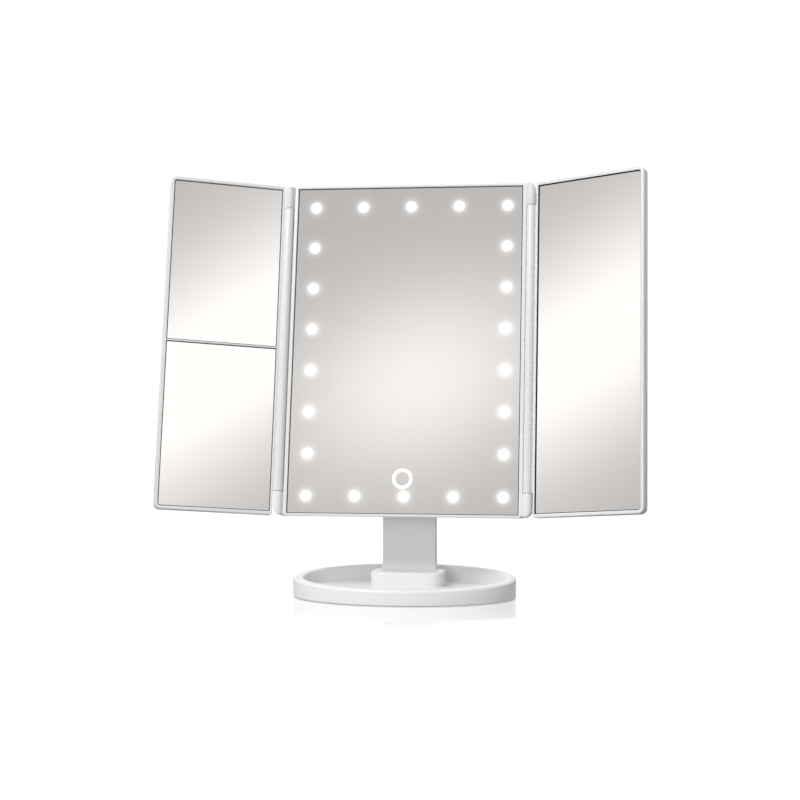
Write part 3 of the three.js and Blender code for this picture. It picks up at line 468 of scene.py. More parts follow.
def turned(profile, steps=64):
    """Round body about Z from points of radius and height."""
    part = bmesh.new()
    verts = [part.verts.new((r, 0, z)) for r, z in profile]
    edges = [part.edges.new(pair) for pair in zip(verts, verts[1:])]
    bmesh.ops.spin(
        part, geom=verts + edges, cent=(0, 0, 0), axis=(0, 0, 1), angle=2 * pi,
        steps=steps, use_merge=True,
    )
    bmesh.ops.remove_doubles(part, verts=part.verts, dist=MERGE)
    return faces_out(part)


def rod(radius, low, high, edge=0.0, steps=40):
    """Round bar about Z with rounded ends."""
    if not edge:
        return turned([(0, low), (radius, low), (radius, high), (0, high)], steps)
    profile = [(0, low), *arc(radius - edge, low + edge, edge, -90, 0, 4)]
    profile += [*arc(radius - edge, high - edge, edge, 0, 90, 4), (0, high)]
    return turned(profile, steps)


def round_edges(part, radius, steps=3, chosen=None):
    """Rounds the sharp edges, or those of them that are chosen."""
    edges = [
        edge
        for edge in part.edges
        if len(edge.link_faces) == 2
        and edge.calc_face_angle() > radians(SHARP)
        and (chosen is None or chosen(edge))
    ]
    bmesh.ops.bevel(
        part, geom=edges, offset=radius, offset_type="OFFSET", affect="EDGES",
        segments=steps, profile=0.5, material=-1, clamp_overlap=True,
    )
    return part


def edge_middle(edge):
    return (edge.verts[0].co + edge.verts[1].co) / 2


def round_face(part, depth, radius, steps=3):
    """Rounds the sharp edges that lie at one depth."""
    return round_edges(part, radius, steps, lambda edge: abs(edge_middle(edge).y - depth) < NEAR)


def combine(part, tool, operation):
    """Cuts or joins one closed part with another."""
    body = scene_object("body", mesh_of(part, "body"))
    other = scene_object("tool", mesh_of(tool, "tool"))
    modifier = body.modifiers.new("combine", "BOOLEAN")
    modifier.operation = operation
    modifier.solver = "EXACT"
    modifier.object = other
    result = finished_part(body)
    for item in (body, other):
        mesh = item.data
        bpy.data.objects.remove(item)
        bpy.data.meshes.remove(mesh)
    return result


def cut(part, *tools):
    for tool in tools:
        part = combine(part, tool, "DIFFERENCE")
    return part


def join(part, *tools):
    for tool in tools:
        part = combine(part, tool, "UNION")
    return part


def mark_faces(part, index, chosen):
    """Gives the chosen faces another of the piece's materials."""
    for face in part.faces:
        if chosen(face):
            face.material_index = index


def piece(part, name, body, slot, replaces=(), finishes=None, place=STAND, smooth_under=35):
    """Puts a part where its body is, in metres, attaches it to its body and gives it its finishes, those
    of its slot unless given.
    """
    moved(part, Matrix.Scale(MM, 4) @ (BODY_PLACES[body] @ place))
    mesh = mesh_of(part, name)
    mesh.shade_smooth()
    mesh.set_sharp_from_angle(angle=radians(smooth_under))
    for material in finishes or [FINISHES[slot]]:
        mesh.materials.append(material)
    made = scene_object(name, mesh)
    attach(made, body)
    if replaces:
        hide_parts(*replaces)
    return made


# Material tools


def fill(socket, value):
    """Gives an input a value or another node's output."""
    if isinstance(value, bpy.types.NodeSocket):
        socket.id_data.links.new(value, socket)
    else:
        socket.default_value = value


def give(target, **values):
    """Fills inputs of a node by their names."""
    for name, value in values.items():
        fill(target.inputs[name.replace("_", " ")], value)
    return target


def node(beside, kind, **values):
    """New node in the tree of another node or output."""
    return give(beside.id_data.nodes.new(kind), **values)


def math(operation, *values):
    """Math node whose inputs are numbers or other nodes' outputs."""
    outputs = [value for value in values if isinstance(value, bpy.types.NodeSocket)]
    made = node(outputs[0], "ShaderNodeMath")
    made.operation = operation
    for socket, value in zip(made.inputs, values):
        fill(socket, value)
    return made.outputs["Value"]


def shader_of(name, **values):
    """New material and its shader, with what is the same all over."""
    material = bpy.data.materials.new(name)
    material.use_nodes = True
    return material, give(material.node_tree.nodes["Principled BSDF"], **values)


def own_place(beside):
    """The object's own coordinates."""
    return node(beside, "ShaderNodeTexCoord").outputs["Object"]


def noise(beside, per_metre, detail=2, stretch=(1, 1, 1)):
    """Noise on the object's own coordinates."""
    mapping = node(beside, "ShaderNodeMapping", Vector=own_place(beside), Scale=stretch)
    made = node(beside, "ShaderNodeTexNoise", Scale=per_metre, Detail=detail)
    give(made, Vector=mapping.outputs["Vector"])
    return made.outputs["Fac"]


def spread(source, to_low, to_high, from_low=0.3, from_high=0.7):
    """Maps a number from one range to another; the first range is a noise's unless given."""
    made = node(
        source, "ShaderNodeMapRange", Value=source, From_Min=from_low, From_Max=from_high,
        To_Min=to_low, To_Max=to_high,
    )
    return made.outputs["Result"]


def two_tone(source, first, second):
    """Colour that drifts between two tones."""
    ramp = node(source, "ShaderNodeValToRGB", Fac=source)
    for element, position, tone in zip(ramp.color_ramp.elements, TONE_EDGES, (first, second)):
        element.position = position
        element.color = (*tone, 1)
    return ramp.outputs["Color"]


def surface_relief(shader, source, height):
    bump = node(shader, "ShaderNodeBump", Height=source, Strength=1.0, Distance=height * MM)
    give(shader, Normal=bump.outputs["Normal"])


def moulded_plastic(name, first, second, gloss_low, gloss_high, grain_per_mm, relief):
    material, shader = shader_of(name, IOR=1.49)
    tone = two_tone(noise(shader, 12), first, second)
    give(shader, Base_Color=tone, Roughness=spread(noise(shader, 60), gloss_low, gloss_high))
    surface_relief(shader, noise(shader, grain_per_mm / MM), relief)
    return material


def white_gloss():
    return moulded_plastic(
        "white gloss plastic", (0.866, 0.867, 0.875), (0.874, 0.875, 0.883), 0.285, 0.325, 0.8, 0.0006
    )


def white_satin():
    return moulded_plastic(
        "white satin plastic", (0.8, 0.8, 0.815), (0.82, 0.82, 0.835), 0.45, 0.6, 3.0, 0.012
    )


def black_plastic():
    return moulded_plastic(
        "black plastic", (0.014, 0.014, 0.015), (0.022, 0.022, 0.023), 0.4, 0.55, 4.0, 0.01
    )


# dark paint on the edges and back of the glass, also used as painted shade on the bevels and recess
# walls round the glass
def edge_paint_and_painted_shade():
    return moulded_plastic(
        "dark edge paint and painted shade", (0.05, 0.05, 0.055), (0.08, 0.08, 0.085), 0.35, 0.5, 4.0, 0.01
    )


def grey_rubber():
    return moulded_plastic(
        "grey rubber", (0.13, 0.13, 0.135), (0.17, 0.17, 0.175), 0.75, 0.9, 5.0, 0.02
    )


def red_insulation():
    return moulded_plastic("red wire", (0.36, 0.02, 0.015), (0.42, 0.03, 0.02), 0.4, 0.5, 2.0, 0.01)


def steel(name, tone, rough_low, rough_high, brushed):
    material, shader = shader_of(name, Metallic=1.0)
    streaks = noise(shader, 1500, 3, brushed)
    darker = tuple(value * 0.86 for value in tone)
    rough = spread(streaks, rough_low, rough_high)
    give(shader, Base_Color=two_tone(streaks, darker, tone), Roughness=rough)
    surface_relief(shader, streaks, 0.004)
    return material


def window_distance(shader):
    """Distance in millimetres from the middle of the nearest window, on the face of the head."""
    to_head = (Matrix.Scale(MM, 4) @ HEAD).inverted()
    mapping = node(
        shader, "ShaderNodeMapping", Vector=own_place(shader), Location=to_head.to_translation(),
        Rotation=to_head.to_euler(), Scale=to_head.to_scale(),
    )
    split = node(shader, "ShaderNodeSeparateXYZ", Vector=mapping.outputs["Vector"])
    shifted = math("SUBTRACT", split.outputs["X"], WINDOW_SHIFT)
    raised = math("SUBTRACT", split.outputs["Z"], WINDOW_LOW)
    x = math("WRAP", shifted, WINDOW_PITCH_X / 2, -WINDOW_PITCH_X / 2)
    z = math("WRAP", raised, WINDOW_PITCH_Z / 2, -WINDOW_PITCH_Z / 2)
    distance = math("SQRT", math("ADD", math("MULTIPLY", x, x), math("MULTIPLY", z, z)))
    from_middle = math("SUBTRACT", split.outputs["Z"], (WINDOW_LOW + WINDOW_HIGH) / 2)
    end = (WINDOW_HIGH - WINDOW_LOW - WINDOW_PITCH_Z) / 2
    at_end = math("GREATER_THAN", math("ABSOLUTE", from_middle), end)
    at_side = math("GREATER_THAN", math("ABSOLUTE", shifted), WINDOW_SIDE - WINDOW_PITCH_X / 2)
    between = math("SUBTRACT", 1.0, math("MAXIMUM", at_end, at_side))
    return math("ADD", distance, math("MULTIPLY", between, FAR_FROM_LIGHT))


def silvered_glass(name, lit):
    """Silvered glass: clear and flat, with a faint haze and a painted glow of light that bleeds round
    each window.
    """
    material, shader = shader_of(name, Metallic=1.0)
    haze = noise(shader, 30, 4)
    tone = two_tone(haze, (0.919, 0.889, 0.868), (0.926, 0.896, 0.875))
    give(shader, Base_Color=tone, Roughness=spread(haze, 0.006, 0.02))
    if lit:
        # painted glow: the glass itself emits light that fades from the rim of each window
        from_rim = math("SUBTRACT", window_distance(shader), WINDOW_RADIUS)
        fade = math("EXPONENT", math("DIVIDE", from_rim, -HALO_REACH))
        halo = math("MULTIPLY", fade, HALO_GLOW)
        give(shader, Emission_Color=(1.0, 0.99, 0.98, 1), Emission_Strength=halo)
    return material


def lit_diffuser():
    """Milky window, lit from behind and brightest in its middle."""
    material, shader = shader_of(
        "lit diffuser", Roughness=0.45, Emission_Color=(1.0, 0.99, 0.975, 1)
    )
    tone = two_tone(noise(shader, 900), (0.48, 0.478, 0.474), (0.53, 0.528, 0.524))
    distance = window_distance(shader)
    glow = spread(distance, WINDOW_GLOW, WINDOW_EDGE_GLOW, WINDOW_FADE_FROM, WINDOW_RADIUS)
    give(shader, Base_Color=tone, Emission_Strength=glow)
    return material


def lit_mark():
    """Frosted ring in the glass, lit evenly from behind."""
    material, shader = shader_of(
        "lit touch mark", Roughness=0.4, Emission_Color=(1.0, 0.995, 0.99, 1)
    )
    milk = noise(shader, 900)
    tone = two_tone(milk, (0.92, 0.92, 0.92), (0.96, 0.96, 0.96))
    give(shader, Base_Color=tone, Emission_Strength=spread(milk, 0.5, 0.6))
    return material


def circuit_board():
    """Solder mask over copper tracks, in a grid of fine lines."""
    material, shader = shader_of("circuit board", Roughness=0.35)
    tracks = node(
        shader, "ShaderNodeTexBrick", Vector=own_place(shader), Scale=120.0, Mortar_Size=0.012,
        Color1=(0.01, 0.09, 0.045, 1), Color2=(0.015, 0.12, 0.06, 1), Mortar=(0.03, 0.2, 0.1, 1),
    )
    give(shader, Base_Color=tracks.outputs["Color"])
    surface_relief(shader, tracks.outputs["Fac"], 0.03)
    return material


def cell_jacket():
    """Plain printed jacket of a dry cell."""
    material, shader = shader_of("cell jacket", Metallic=0.3)
    drift = noise(shader, 60, 3)
    tone = two_tone(drift, (0.035, 0.05, 0.075), (0.045, 0.062, 0.09))
    give(shader, Base_Color=tone, Roughness=spread(drift, 0.25, 0.4))
    return material


WHITE_GLOSS = white_gloss()
WHITE_SATIN = white_satin()
BLACK_PLASTIC = black_plastic()
DARK_EDGE_AND_PAINTED_SHADE = edge_paint_and_painted_shade()
GREY_RUBBER = grey_rubber()
RED_WIRE = red_insulation()
BRIGHT_STEEL = steel("bright steel", (0.72, 0.72, 0.71), 0.16, 0.28, (1, 1, 1))
SHEET_STEEL = steel("sheet steel", (0.42, 0.42, 0.42), 0.35, 0.5, (0.2, 1, 1))
MIRROR = silvered_glass("silvered glass with lights", True)
WING_MIRROR = silvered_glass("silvered glass", False)
LIT_DIFFUSER = lit_diffuser()
LIT_MARK = lit_mark()
CIRCUIT_BOARD = circuit_board()
CELL_JACKET = cell_jacket()

# Finish of the pieces in each slot, unless a piece is given its own
FINISHES = {
    "white_gloss": WHITE_GLOSS,
    "white_satin": WHITE_SATIN,
    "black_plastic": BLACK_PLASTIC,
    "grey_rubber": GREY_RUBBER,
    "bright_steel": BRIGHT_STEEL,
}


# Head


def tapered_ends(part):
    """Draws in the two ends of a body of the head, from the glass face to the back."""
    middle = (HEAD_LOW + HEAD_HIGH) / 2
    half = (HEAD_HIGH - HEAD_LOW) / 2
    for vert in part.verts:
        depth = max(vert.co.y, 0)
        vert.co.z = middle + (vert.co.z - middle) * (1 - END_TAPER * depth / half)
    return part


def head_plate(half, front, back, corner, inset=0):
    """Plate as high as the head, or less by an inset at each end."""
    return plate(-half, half, HEAD_LOW + inset, HEAD_HIGH - inset, front, back, (corner,) * 4)


def window_centres():
    """Places of the round windows: along the top and bottom rows, and down both sides."""
    centres = []
    for column in range(WINDOW_COLUMNS):
        for row in range(WINDOW_ROWS):
            on_side = column in (0, WINDOW_COLUMNS - 1)
            on_end = row in (0, WINDOW_ROWS - 1)
            if on_side or on_end:
                x = WINDOW_SHIFT - WINDOW_SIDE + column * WINDOW_PITCH_X
                centres.append((x, WINDOW_LOW + row * WINDOW_PITCH_Z))
    return centres


def outward(part, edges, move=(0, 0, 0), scale=(1, 1, 1), middle=(0, 0, 0)):
    """Draws open edges out into a strip of faces and returns the strip's far edges."""
    made = bmesh.ops.extrude_edge_only(part, edges=edges)["geom"]
    verts = {item for item in made if isinstance(item, bmesh.types.BMVert)}
    about = Matrix.Translation([-value for value in middle])
    bmesh.ops.scale(part, vec=scale, space=about, verts=list(verts))
    bmesh.ops.translate(part, vec=move, verts=list(verts))
    edges = [item for item in made if isinstance(item, bmesh.types.BMEdge)]
    return [edge for edge in edges if set(edge.verts) <= verts]


def drawn_circle(part, x, z, radius, steps):
    made = bmesh.ops.create_circle(
        part, segments=steps, radius=radius, cap_ends=False, matrix=facing_front(x, 0, z)
    )
    return list({edge for vert in made["verts"] for edge in vert.link_edges})


def centre_mirror():
    """Glass with a fine bevel, a round hole for each light and a groove for the touch mark."""
    part = bmesh.new()
    half = GLASS_HALF - GLASS_GAP
    bottom, top = GLASS_GAP, GLASS_HEIGHT - GLASS_GAP
    x = half - GLASS_BEVEL
    low, high = bottom + GLASS_BEVEL, top - GLASS_BEVEL
    corners = [part.verts.new(co) for co in ((-x, 0, low), (x, 0, low), (x, 0, high), (-x, 0, high))]
    border = [part.edges.new((corners[i - 1], corners[i])) for i in range(4)]
    holes = [drawn_circle(part, *centre, WINDOW_RADIUS, 40) for centre in window_centres()]
    groove = drawn_circle(part, 0, TOUCH_HEIGHT, TOUCH_OUTER + INLAY_GAP, 64)
    bmesh.ops.triangle_fill(part, edges=part.edges[:], use_beauty=True, normal=(0, -1, 0))
    for hole in holes:
        outward(part, hole, (0, HOLE_DEPTH, 0))
    outward(part, groove, (0, GROOVE_DEPTH, 0))
    island = drawn_circle(part, 0, TOUCH_HEIGHT, TOUCH_INNER - INLAY_GAP, 64)
    bmesh.ops.contextual_create(part, geom=island)
    outward(part, island, (0, GROOVE_DEPTH, 0))
    grow = (half / x, 1, (top - bottom) / (high - low))
    edge = outward(part, border, (0, GLASS_BEVEL, 0), grow, (0, 0, GLASS_HEIGHT / 2))
    edge = outward(part, edge, (0, GLASS_THICKNESS - GLASS_BEVEL, 0))
    bmesh.ops.contextual_create(part, geom=edge)
    faces_out(part)

    def on_border(face):
        middle = face.calc_center_median()
        beside = abs(middle.x) > x or not low < middle.z < high
        return beside or middle.y > GLASS_THICKNESS / 2

    # dark edge paint on the sides and back; on the bevel round the face it is painted shade for the gap
    # round the glass
    mark_faces(part, 1, on_border)
    piece(
        part, "centre_glass", "head", "mirror", ["centre_mirror"], [MIRROR, DARK_EDGE_AND_PAINTED_SHADE],
        smooth_under=20,
    )


def light_windows():
    """Milky discs that fill the holes of the glass, on the sheet that they are moulded with."""
    half = GLASS_HALF - LEDGE - SEAT_GAP
    low, high = LEDGE + SEAT_GAP, GLASS_HEIGHT - LEDGE - SEAT_GAP
    sheet = box(-half, half, GLASS_THICKNESS + SEAT_GAP, DIFFUSER_BACK, low, high)
    inner = half - DIFFUSER_BAR
    part = cut(sheet, box(-inner, inner, 0, HEAD_DEPTH, DIFFUSER_FOOT, high - DIFFUSER_BAR))
    radius = WINDOW_RADIUS - INLAY_GAP
    root = -DIFFUSER_BACK + 0.6
    profile = [(0, 0), (radius - 0.15, 0), (radius, -0.12), (radius, root), (0, root)]
    for x, z in window_centres():
        merge(part, moved(turned(profile, 40), facing_front(x, INLAY_DEPTH, z)))
    piece(part, "light_windows", "head", "light_window", ["light_diffuser"], [LIT_DIFFUSER])


def touch_ring():
    inner, outer = TOUCH_INNER, TOUCH_OUTER
    profile = [(inner, -TOUCH_DEPTH), (inner, -0.1), (inner + 0.2, 0.0), (outer - 0.2, 0.0)]
    profile += [(outer, -0.1), (outer, -TOUCH_DEPTH), (inner, -TOUCH_DEPTH)]
    piece(
        turned(profile), "touch_mark", "head", "light_window", ["touch_ring"], [LIT_MARK],
        facing_front(0, INLAY_DEPTH, TOUCH_HEIGHT),
    )


def outline_reach(z):
    """Half the width of the head at a height, inside its rounded corners."""
    from_end = min(z - HEAD_LOW, HEAD_HIGH - z)
    if from_end >= HEAD_CORNER:
        return HEAD_HALF
    rise = HEAD_CORNER - max(from_end, 0)
    return HEAD_HALF - HEAD_CORNER + sqrt(max(HEAD_CORNER**2 - rise**2, 0))


def knuckle(side, end):
    """Fixed part of a hinge column: round in front, square behind, rounded at the head's corner."""
    inner = RIM_HALF - KNUCKLE_OVERLAP - HINGE_X
    back = SHELF_DEPTH + 1
    outline = arc(0, -HINGE_FORWARD, COLUMN_RADIUS, 180 - KNUCKLE_ROOT, 360, 20)
    outline += [(COLUMN_RADIUS, back), (inner, back), (inner, 0.3 - RIM_PROUD)]
    bottom = (HEAD_LOW if end < 0 else HEAD_HIGH) - end * KNUCKLE_DROP
    length = KNUCKLE_LENGTH - KNUCKLE_DROP
    part = flat_part([(x, y, bottom) for x, y in outline])
    faces = part.faces[:]
    for rise in (*KNUCKLE_RISES, length - sum(KNUCKLE_RISES)):
        faces = extrude(part, faces, (0, 0, -end * rise))
    faces_out(part)
    bmesh.ops.translate(part, vec=(HINGE_X, 0, 0), verts=part.verts)
    for vert in part.verts:
        vert.co.x = min(vert.co.x, outline_reach(vert.co.z))
    inner_end = bottom - end * length
    round_edges(part, SMALL_ROUND, 3, lambda edge: abs(edge_middle(edge).z - inner_end) < NEAR)
    if side < 0:
        faces_out(stretched(part, -1))
    return tapered_ends(part)


def round_the_glass(edge):
    """Whether an edge in front of the rim lies round the glass, not on its outer side."""
    x, y, z = edge_middle(edge)
    past = SEAT_GAP + 0.05
    within = abs(x) <= GLASS_HALF + past and -past < z < GLASS_HEIGHT + past
    return y < NEAR - RIM_PROUD and within


def centre_frame():
    """Raised rim round the glass, the rails behind the hinges and the four fixed knuckles."""
    corner = HEAD_CORNER - (RIM_HALF - GLASS_HALF - SEAT_GAP)
    rim = head_plate(RIM_HALF, -RIM_PROUD, PARTING_DEPTH - 1, corner)
    rails = head_plate(HEAD_HALF, SHELF_DEPTH, PARTING_DEPTH, HEAD_CORNER)
    round_face(rim, -RIM_PROUD, RIM_ROUNDING, 5)
    round_face(rails, SHELF_DEPTH, 0.4)
    part = join(tapered_ends(rim), tapered_ends(rails))
    opening = GLASS_HALF + SEAT_GAP
    seat = GLASS_THICKNESS + SEAT_GAP
    part = cut(
        part,
        box(-opening, opening, -5, seat, -SEAT_GAP, GLASS_HEIGHT + SEAT_GAP),
        box(LEDGE - GLASS_HALF, GLASS_HALF - LEDGE, 0, HEAD_DEPTH, LEDGE, GLASS_HEIGHT - LEDGE),
        box(-GLASS_HALF, GLASS_HALF, BOARD_DEPTH, HEAD_DEPTH, 0, GLASS_HEIGHT),
    )
    round_edges(part, 0.3, 3, round_the_glass)
    for side in (-1, 1):
        for end in (-1, 1):
            merge(part, knuckle(side, end))
    piece(part, "centre_bezel", "head", "white_gloss", ["centre_frame"])


def tilt_lug(side):
    """Ear on the back of the head that holds the tilt shaft."""
    foot = HEAD_DEPTH - 1
    inner = LUG_INNER if side > 0 else -LUG_OUTER
    outline = [(foot, TILT_HEIGHT - LUG_SPREAD)]
    outline += arc(TILT_DEPTH, TILT_HEIGHT, TILT_KNUCKLE, -90, 90, 24)
    outline += [(foot, TILT_HEIGHT + LUG_SPREAD)]
    part = flat_part([(inner, y, z) for y, z in outline])
    extrude(part, part.faces[:], (LUG_OUTER - LUG_INNER, 0, 0))
    faces_out(part)
    return round_edges(part, LUG_ROUND, 3, lambda edge: edge_middle(edge).y > foot + NEAR)


def screw_post(side, z):
    """Post for a housing screw, and the holes for its head and its shank."""
    place = facing_back(side * HOUSING_SCREW_X, 0, z)
    front = PARTING_DEPTH + SEAT_GAP
    post = rod(HOUSING_POST, front, HEAD_DEPTH - HEAD_WALL + 0.5)
    recess = rod(HOUSING_SCREW_HEAD + BORE_GAP, HOUSING_SCREW_SEAT, HEAD_DEPTH + 1)
    hole = rod(HOUSING_SCREW_SHANK + BORE_GAP, 0, HEAD_DEPTH)
    return [moved(part, place) for part in (post, recess, hole)]


def bay_block(margin, front, back):
    """Block as large as the battery bay, or larger by a margin."""
    half, rise = BAY_HALF_WIDTH + margin, BAY_HALF_HEIGHT + margin
    return middle_plate(0, BAY_MIDDLE, half, rise, front, back)


def rear_housing():
    """Back shell with its battery bay, door slots, tilt lugs and screw posts."""
    front = PARTING_DEPTH + SEAT_GAP
    inside = HEAD_DEPTH - HEAD_WALL
    shell = head_plate(HEAD_HALF, front, HEAD_DEPTH, HEAD_CORNER)
    round_face(shell, HEAD_DEPTH, HEAD_BACK_EDGE, 6)
    hollow = head_plate(HEAD_HALF - HEAD_WALL, front - 1, inside, HEAD_CORNER - HEAD_WALL / 2, HEAD_WALL)
    shell = cut(tapered_ends(shell), tapered_ends(hollow))

    hump_half = DOOR_HALF + DOOR_TONGUE + HUMP_MARGIN
    hump = plate(
        -hump_half, hump_half, DOOR_LOW - HUMP_MARGIN, DOOR_HIGH, inside + 0.5, DOOR_OUTSIDE,
        (HUMP_CORNER, HUMP_CORNER, 1, 1),
    )
    round_face(hump, DOOR_OUTSIDE, HUMP_ROUND, 4)
    shell = join(shell, bay_block(BAY_WALL, BAY_DEPTH - BAY_WALL, HEAD_DEPTH - 0.5), hump)
    slot = DOOR_HALF + SEAT_GAP
    groove = slot + DOOR_TONGUE
    seat = DOOR_INSIDE - SEAT_GAP
    low, high = DOOR_LOW - SEAT_GAP, DOOR_HIGH + 1
    shell = cut(
        shell,
        bay_block(0, BAY_DEPTH, DOOR_OUTSIDE + 1),
        box(-slot, slot, seat, DOOR_OUTSIDE + 1, low, high),
        box(-groove, groove, seat, TONGUE_BACK + SEAT_GAP, low, high),
    )

    for side in (-1, 1):
        shell = join(shell, tilt_lug(side))
        for z in HOUSING_SCREW_HEIGHTS:
            post, recess, hole = screw_post(side, z)
            shell = cut(join(shell, post), recess, hole)
        post = rod(BOARD_POST, INLET_FRONT, inside + 0.5)
        shell = join(shell, moved(post, facing_back(side * BOARD_POST_SPREAD, 0, FITTING_HEIGHT)))
    bore = rod(TILT_SHAFT + BORE_GAP, -LUG_OUTER - 1, LUG_OUTER + 1)
    half, rise = INLET_WIDTH / 2 + SEAT_GAP, INLET_HEIGHT / 2 + SEAT_GAP
    depths = (inside - 1, HEAD_DEPTH + 1)
    mouth = middle_plate(FITTING_SPREAD, FITTING_HEIGHT, half, rise, *depths, rise * 0.9)
    half, rise = (KNOB_WIDTH + KNOB_TRAVEL) / 2 + SEAT_GAP, KNOB_HEIGHT / 2 + SEAT_GAP
    window = middle_plate(-FITTING_SPREAD, FITTING_HEIGHT, half, rise, *depths, 0.5)
    shell = cut(shell, moved(bore, along_x(0, TILT_DEPTH, TILT_HEIGHT)), mouth, window)
    piece(shell, "rear_shell", "head", "white_gloss", ["rear_housing"])


def lettering(words, height, proud):
    """Raised words in X and Y, centred."""
    curve = bpy.data.curves.new("words", "FONT")
    curve.body = words
    curve.size = height
    curve.extrude = proud
    curve.align_x = "CENTER"
    curve.align_y = "CENTER"
    holder = scene_object("words", curve)
    part = finished_part(holder)
    bpy.data.objects.remove(holder)
    bpy.data.curves.remove(curve)
    return faces_out(part)


def switch_words():
    """ON and OFF in low relief above the switch."""
    part = bmesh.new()
    height = FITTING_HEIGHT + KNOB_HEIGHT + 1.8
    for words, x in (("ON", KNOB_X + 1.6), ("OFF", -2 * FITTING_SPREAD - KNOB_X - 2.2)):
        raised = lettering(words, LETTER_HEIGHT, LETTER_PROUD)
        merge(part, moved(raised, facing_back(x, HEAD_DEPTH + 0.03, height)))
    piece(part, "switch_words", "head", "white_gloss", smooth_under=20)


def switch_knob():
    """Ribbed slider of the power switch."""
    rise = KNOB_HEIGHT / 2
    part = middle_plate(
        KNOB_X, FITTING_HEIGHT, KNOB_WIDTH / 2, rise, HEAD_DEPTH - HEAD_WALL, KNOB_BACK
    )
    round_face(part, KNOB_BACK, 0.3)
    for step in (-1, 0, 1):
        x = KNOB_X + step * KNOB_WIDTH / 4
        part = cut(part, middle_plate(x, FITTING_HEIGHT, 0.2, rise + 1, KNOB_BACK - 0.4, KNOB_BACK + 1))
    piece(part, "switch_slider", "switch_knob", "black_plastic", ["switch_knob"])


def power_inlet():
    """Folded metal shell of the power inlet, round a flat tongue."""
    half, rise = INLET_WIDTH / 2, INLET_HEIGHT / 2
    place = (FITTING_SPREAD, FITTING_HEIGHT)
    part = middle_plate(*place, half, rise, INLET_FRONT, INLET_MOUTH, rise * 0.9)
    half, rise = half - INLET_WALL, rise - INLET_WALL
    part = cut(part, middle_plate(*place, half, rise, INLET_FRONT + 1, INLET_MOUTH + 1, rise * 0.9))
    tongue = middle_plate(*place, 3.1, 0.35, INLET_FRONT + 0.5, INLET_MOUTH - 0.8)
    mark_faces(tongue, 1, lambda face: True)
    merge(part, tongue)
    finishes = [BRIGHT_STEEL, BLACK_PLASTIC]
    piece(part, "inlet_shell", "head", "bright_steel", ["power_inlet"], finishes)


def door_arrow():
    """Small raised arrow that points the way the door slides."""
    low, high = GRIP_HEIGHT + 8.5, GRIP_HEIGHT + 12
    corners = ((-3, low), (3, low), (0, high))
    part = flat_part([(x, DOOR_OUTSIDE - 0.2, z) for x, z in corners])
    extrude(part, part.faces[:], (0, 0.35, 0))
    return faces_out(part)


def battery_door():
    """Sliding door with a finger grip, an arrow and a tongue along each side."""
    tongue_half = DOOR_HALF + DOOR_TONGUE
    part = plate(
        -DOOR_HALF, DOOR_HALF, DOOR_LOW, DOOR_HIGH, DOOR_INSIDE, DOOR_OUTSIDE, (1.2, 1.2, 0.4, 0.4)
    )
    round_face(part, DOOR_OUTSIDE, SMALL_ROUND)
    part = join(part, box(-tongue_half, tongue_half, DOOR_INSIDE, TONGUE_BACK, DOOR_LOW, DOOR_HIGH))
    floor_depth = DOOR_OUTSIDE - GRIP_DEPTH
    grip = turned([(0, 0), (GRIP_RADIUS - GRIP_DEPTH, 0), (GRIP_RADIUS + 0.6, 1.1), (0, 1.1)], 48)
    part = cut(part, moved(grip, facing_back(0, floor_depth, GRIP_HEIGHT)))
    for step in range(-2, 3):
        reach = sqrt((GRIP_RADIUS - 0.9) ** 2 - (GRIP_PITCH * step) ** 2)
        z = GRIP_HEIGHT + GRIP_PITCH * step
        rib = middle_plate(0, z, reach, 0.35, floor_depth - 0.2, DOOR_OUTSIDE - 0.1)
        merge(part, round_edges(rib, 0.15, 2))
    merge(part, door_arrow())
    piece(part, "bay_door", "battery_door", "white_gloss", ["battery_door"], smooth_under=30)


def battery_cells():
    """Dry cells with a crimped jacket, laid head to tail."""
    shoulder = CELL_HALF - CELL_NUB_LENGTH
    profile = [(0, -CELL_HALF + 0.3), (3.6, -CELL_HALF + 0.3), (3.9, -CELL_HALF)]
    profile += [(CELL_RADIUS - CELL_CRIMP, -CELL_HALF), (CELL_RADIUS, -CELL_HALF + CELL_CRIMP)]
    profile += [(CELL_RADIUS, shoulder - CELL_CRIMP), (CELL_RADIUS - CELL_CRIMP, shoulder)]
    profile += [(CELL_NUB_RADIUS + 0.6, shoulder), (CELL_NUB_RADIUS, shoulder + 0.2)]
    profile += [(CELL_NUB_RADIUS, CELL_HALF - 0.3), (CELL_NUB_RADIUS - 0.3, CELL_HALF), (0, CELL_HALF)]

    def bare_metal(face):
        return abs(face.normal.z) > 0.5 or face.calc_center_median().z > shoulder

    for index in range(4):
        part = turned(profile, 48)
        mark_faces(part, 1, bare_metal)
        height = BAY_MIDDLE - BAY_HALF_HEIGHT + SEAT_GAP + CELL_RADIUS + index * CELL_PITCH
        flip = Matrix.Rotation(pi * (index % 2), 4, "X")
        piece(
            part, f"dry_cell_{index + 1}", "head", "cell_jacket", [f"battery_cell_{index + 1}"],
            [CELL_JACKET, BRIGHT_STEEL], along_x(0, CELL_DEPTH, height) @ flip,
        )


# Screws and the tilt hinge


def cross_screw(name, place, body, head, shank, replaces):
    """Screw seen from its head: the head and the shank are pairs of radius and length."""
    head_radius, head_height = head
    shank_radius, length = shank
    profile = [(0, -length), (shank_radius * 0.4, -length), (shank_radius, -length + shank_radius)]
    profile += [(shank_radius, -head_height), (head_radius, -head_height)]
    profile += [(head_radius, -head_height * 0.45), (head_radius * 0.8, -head_height * 0.12)]
    profile += [(head_radius * 0.4, 0), (0, 0)]
    arm, thin, depth = head_radius * 0.62, head_radius * 0.13, min(0.6 * head_height, 0.8)
    part = cut(
        turned(profile, 32),
        box(-arm, arm, -thin, thin, -depth, 1),
        box(-thin, thin, -arm, arm, -depth, 1),
    )
    piece(part, name, body, "bright_steel", [replaces], place=place, smooth_under=30)


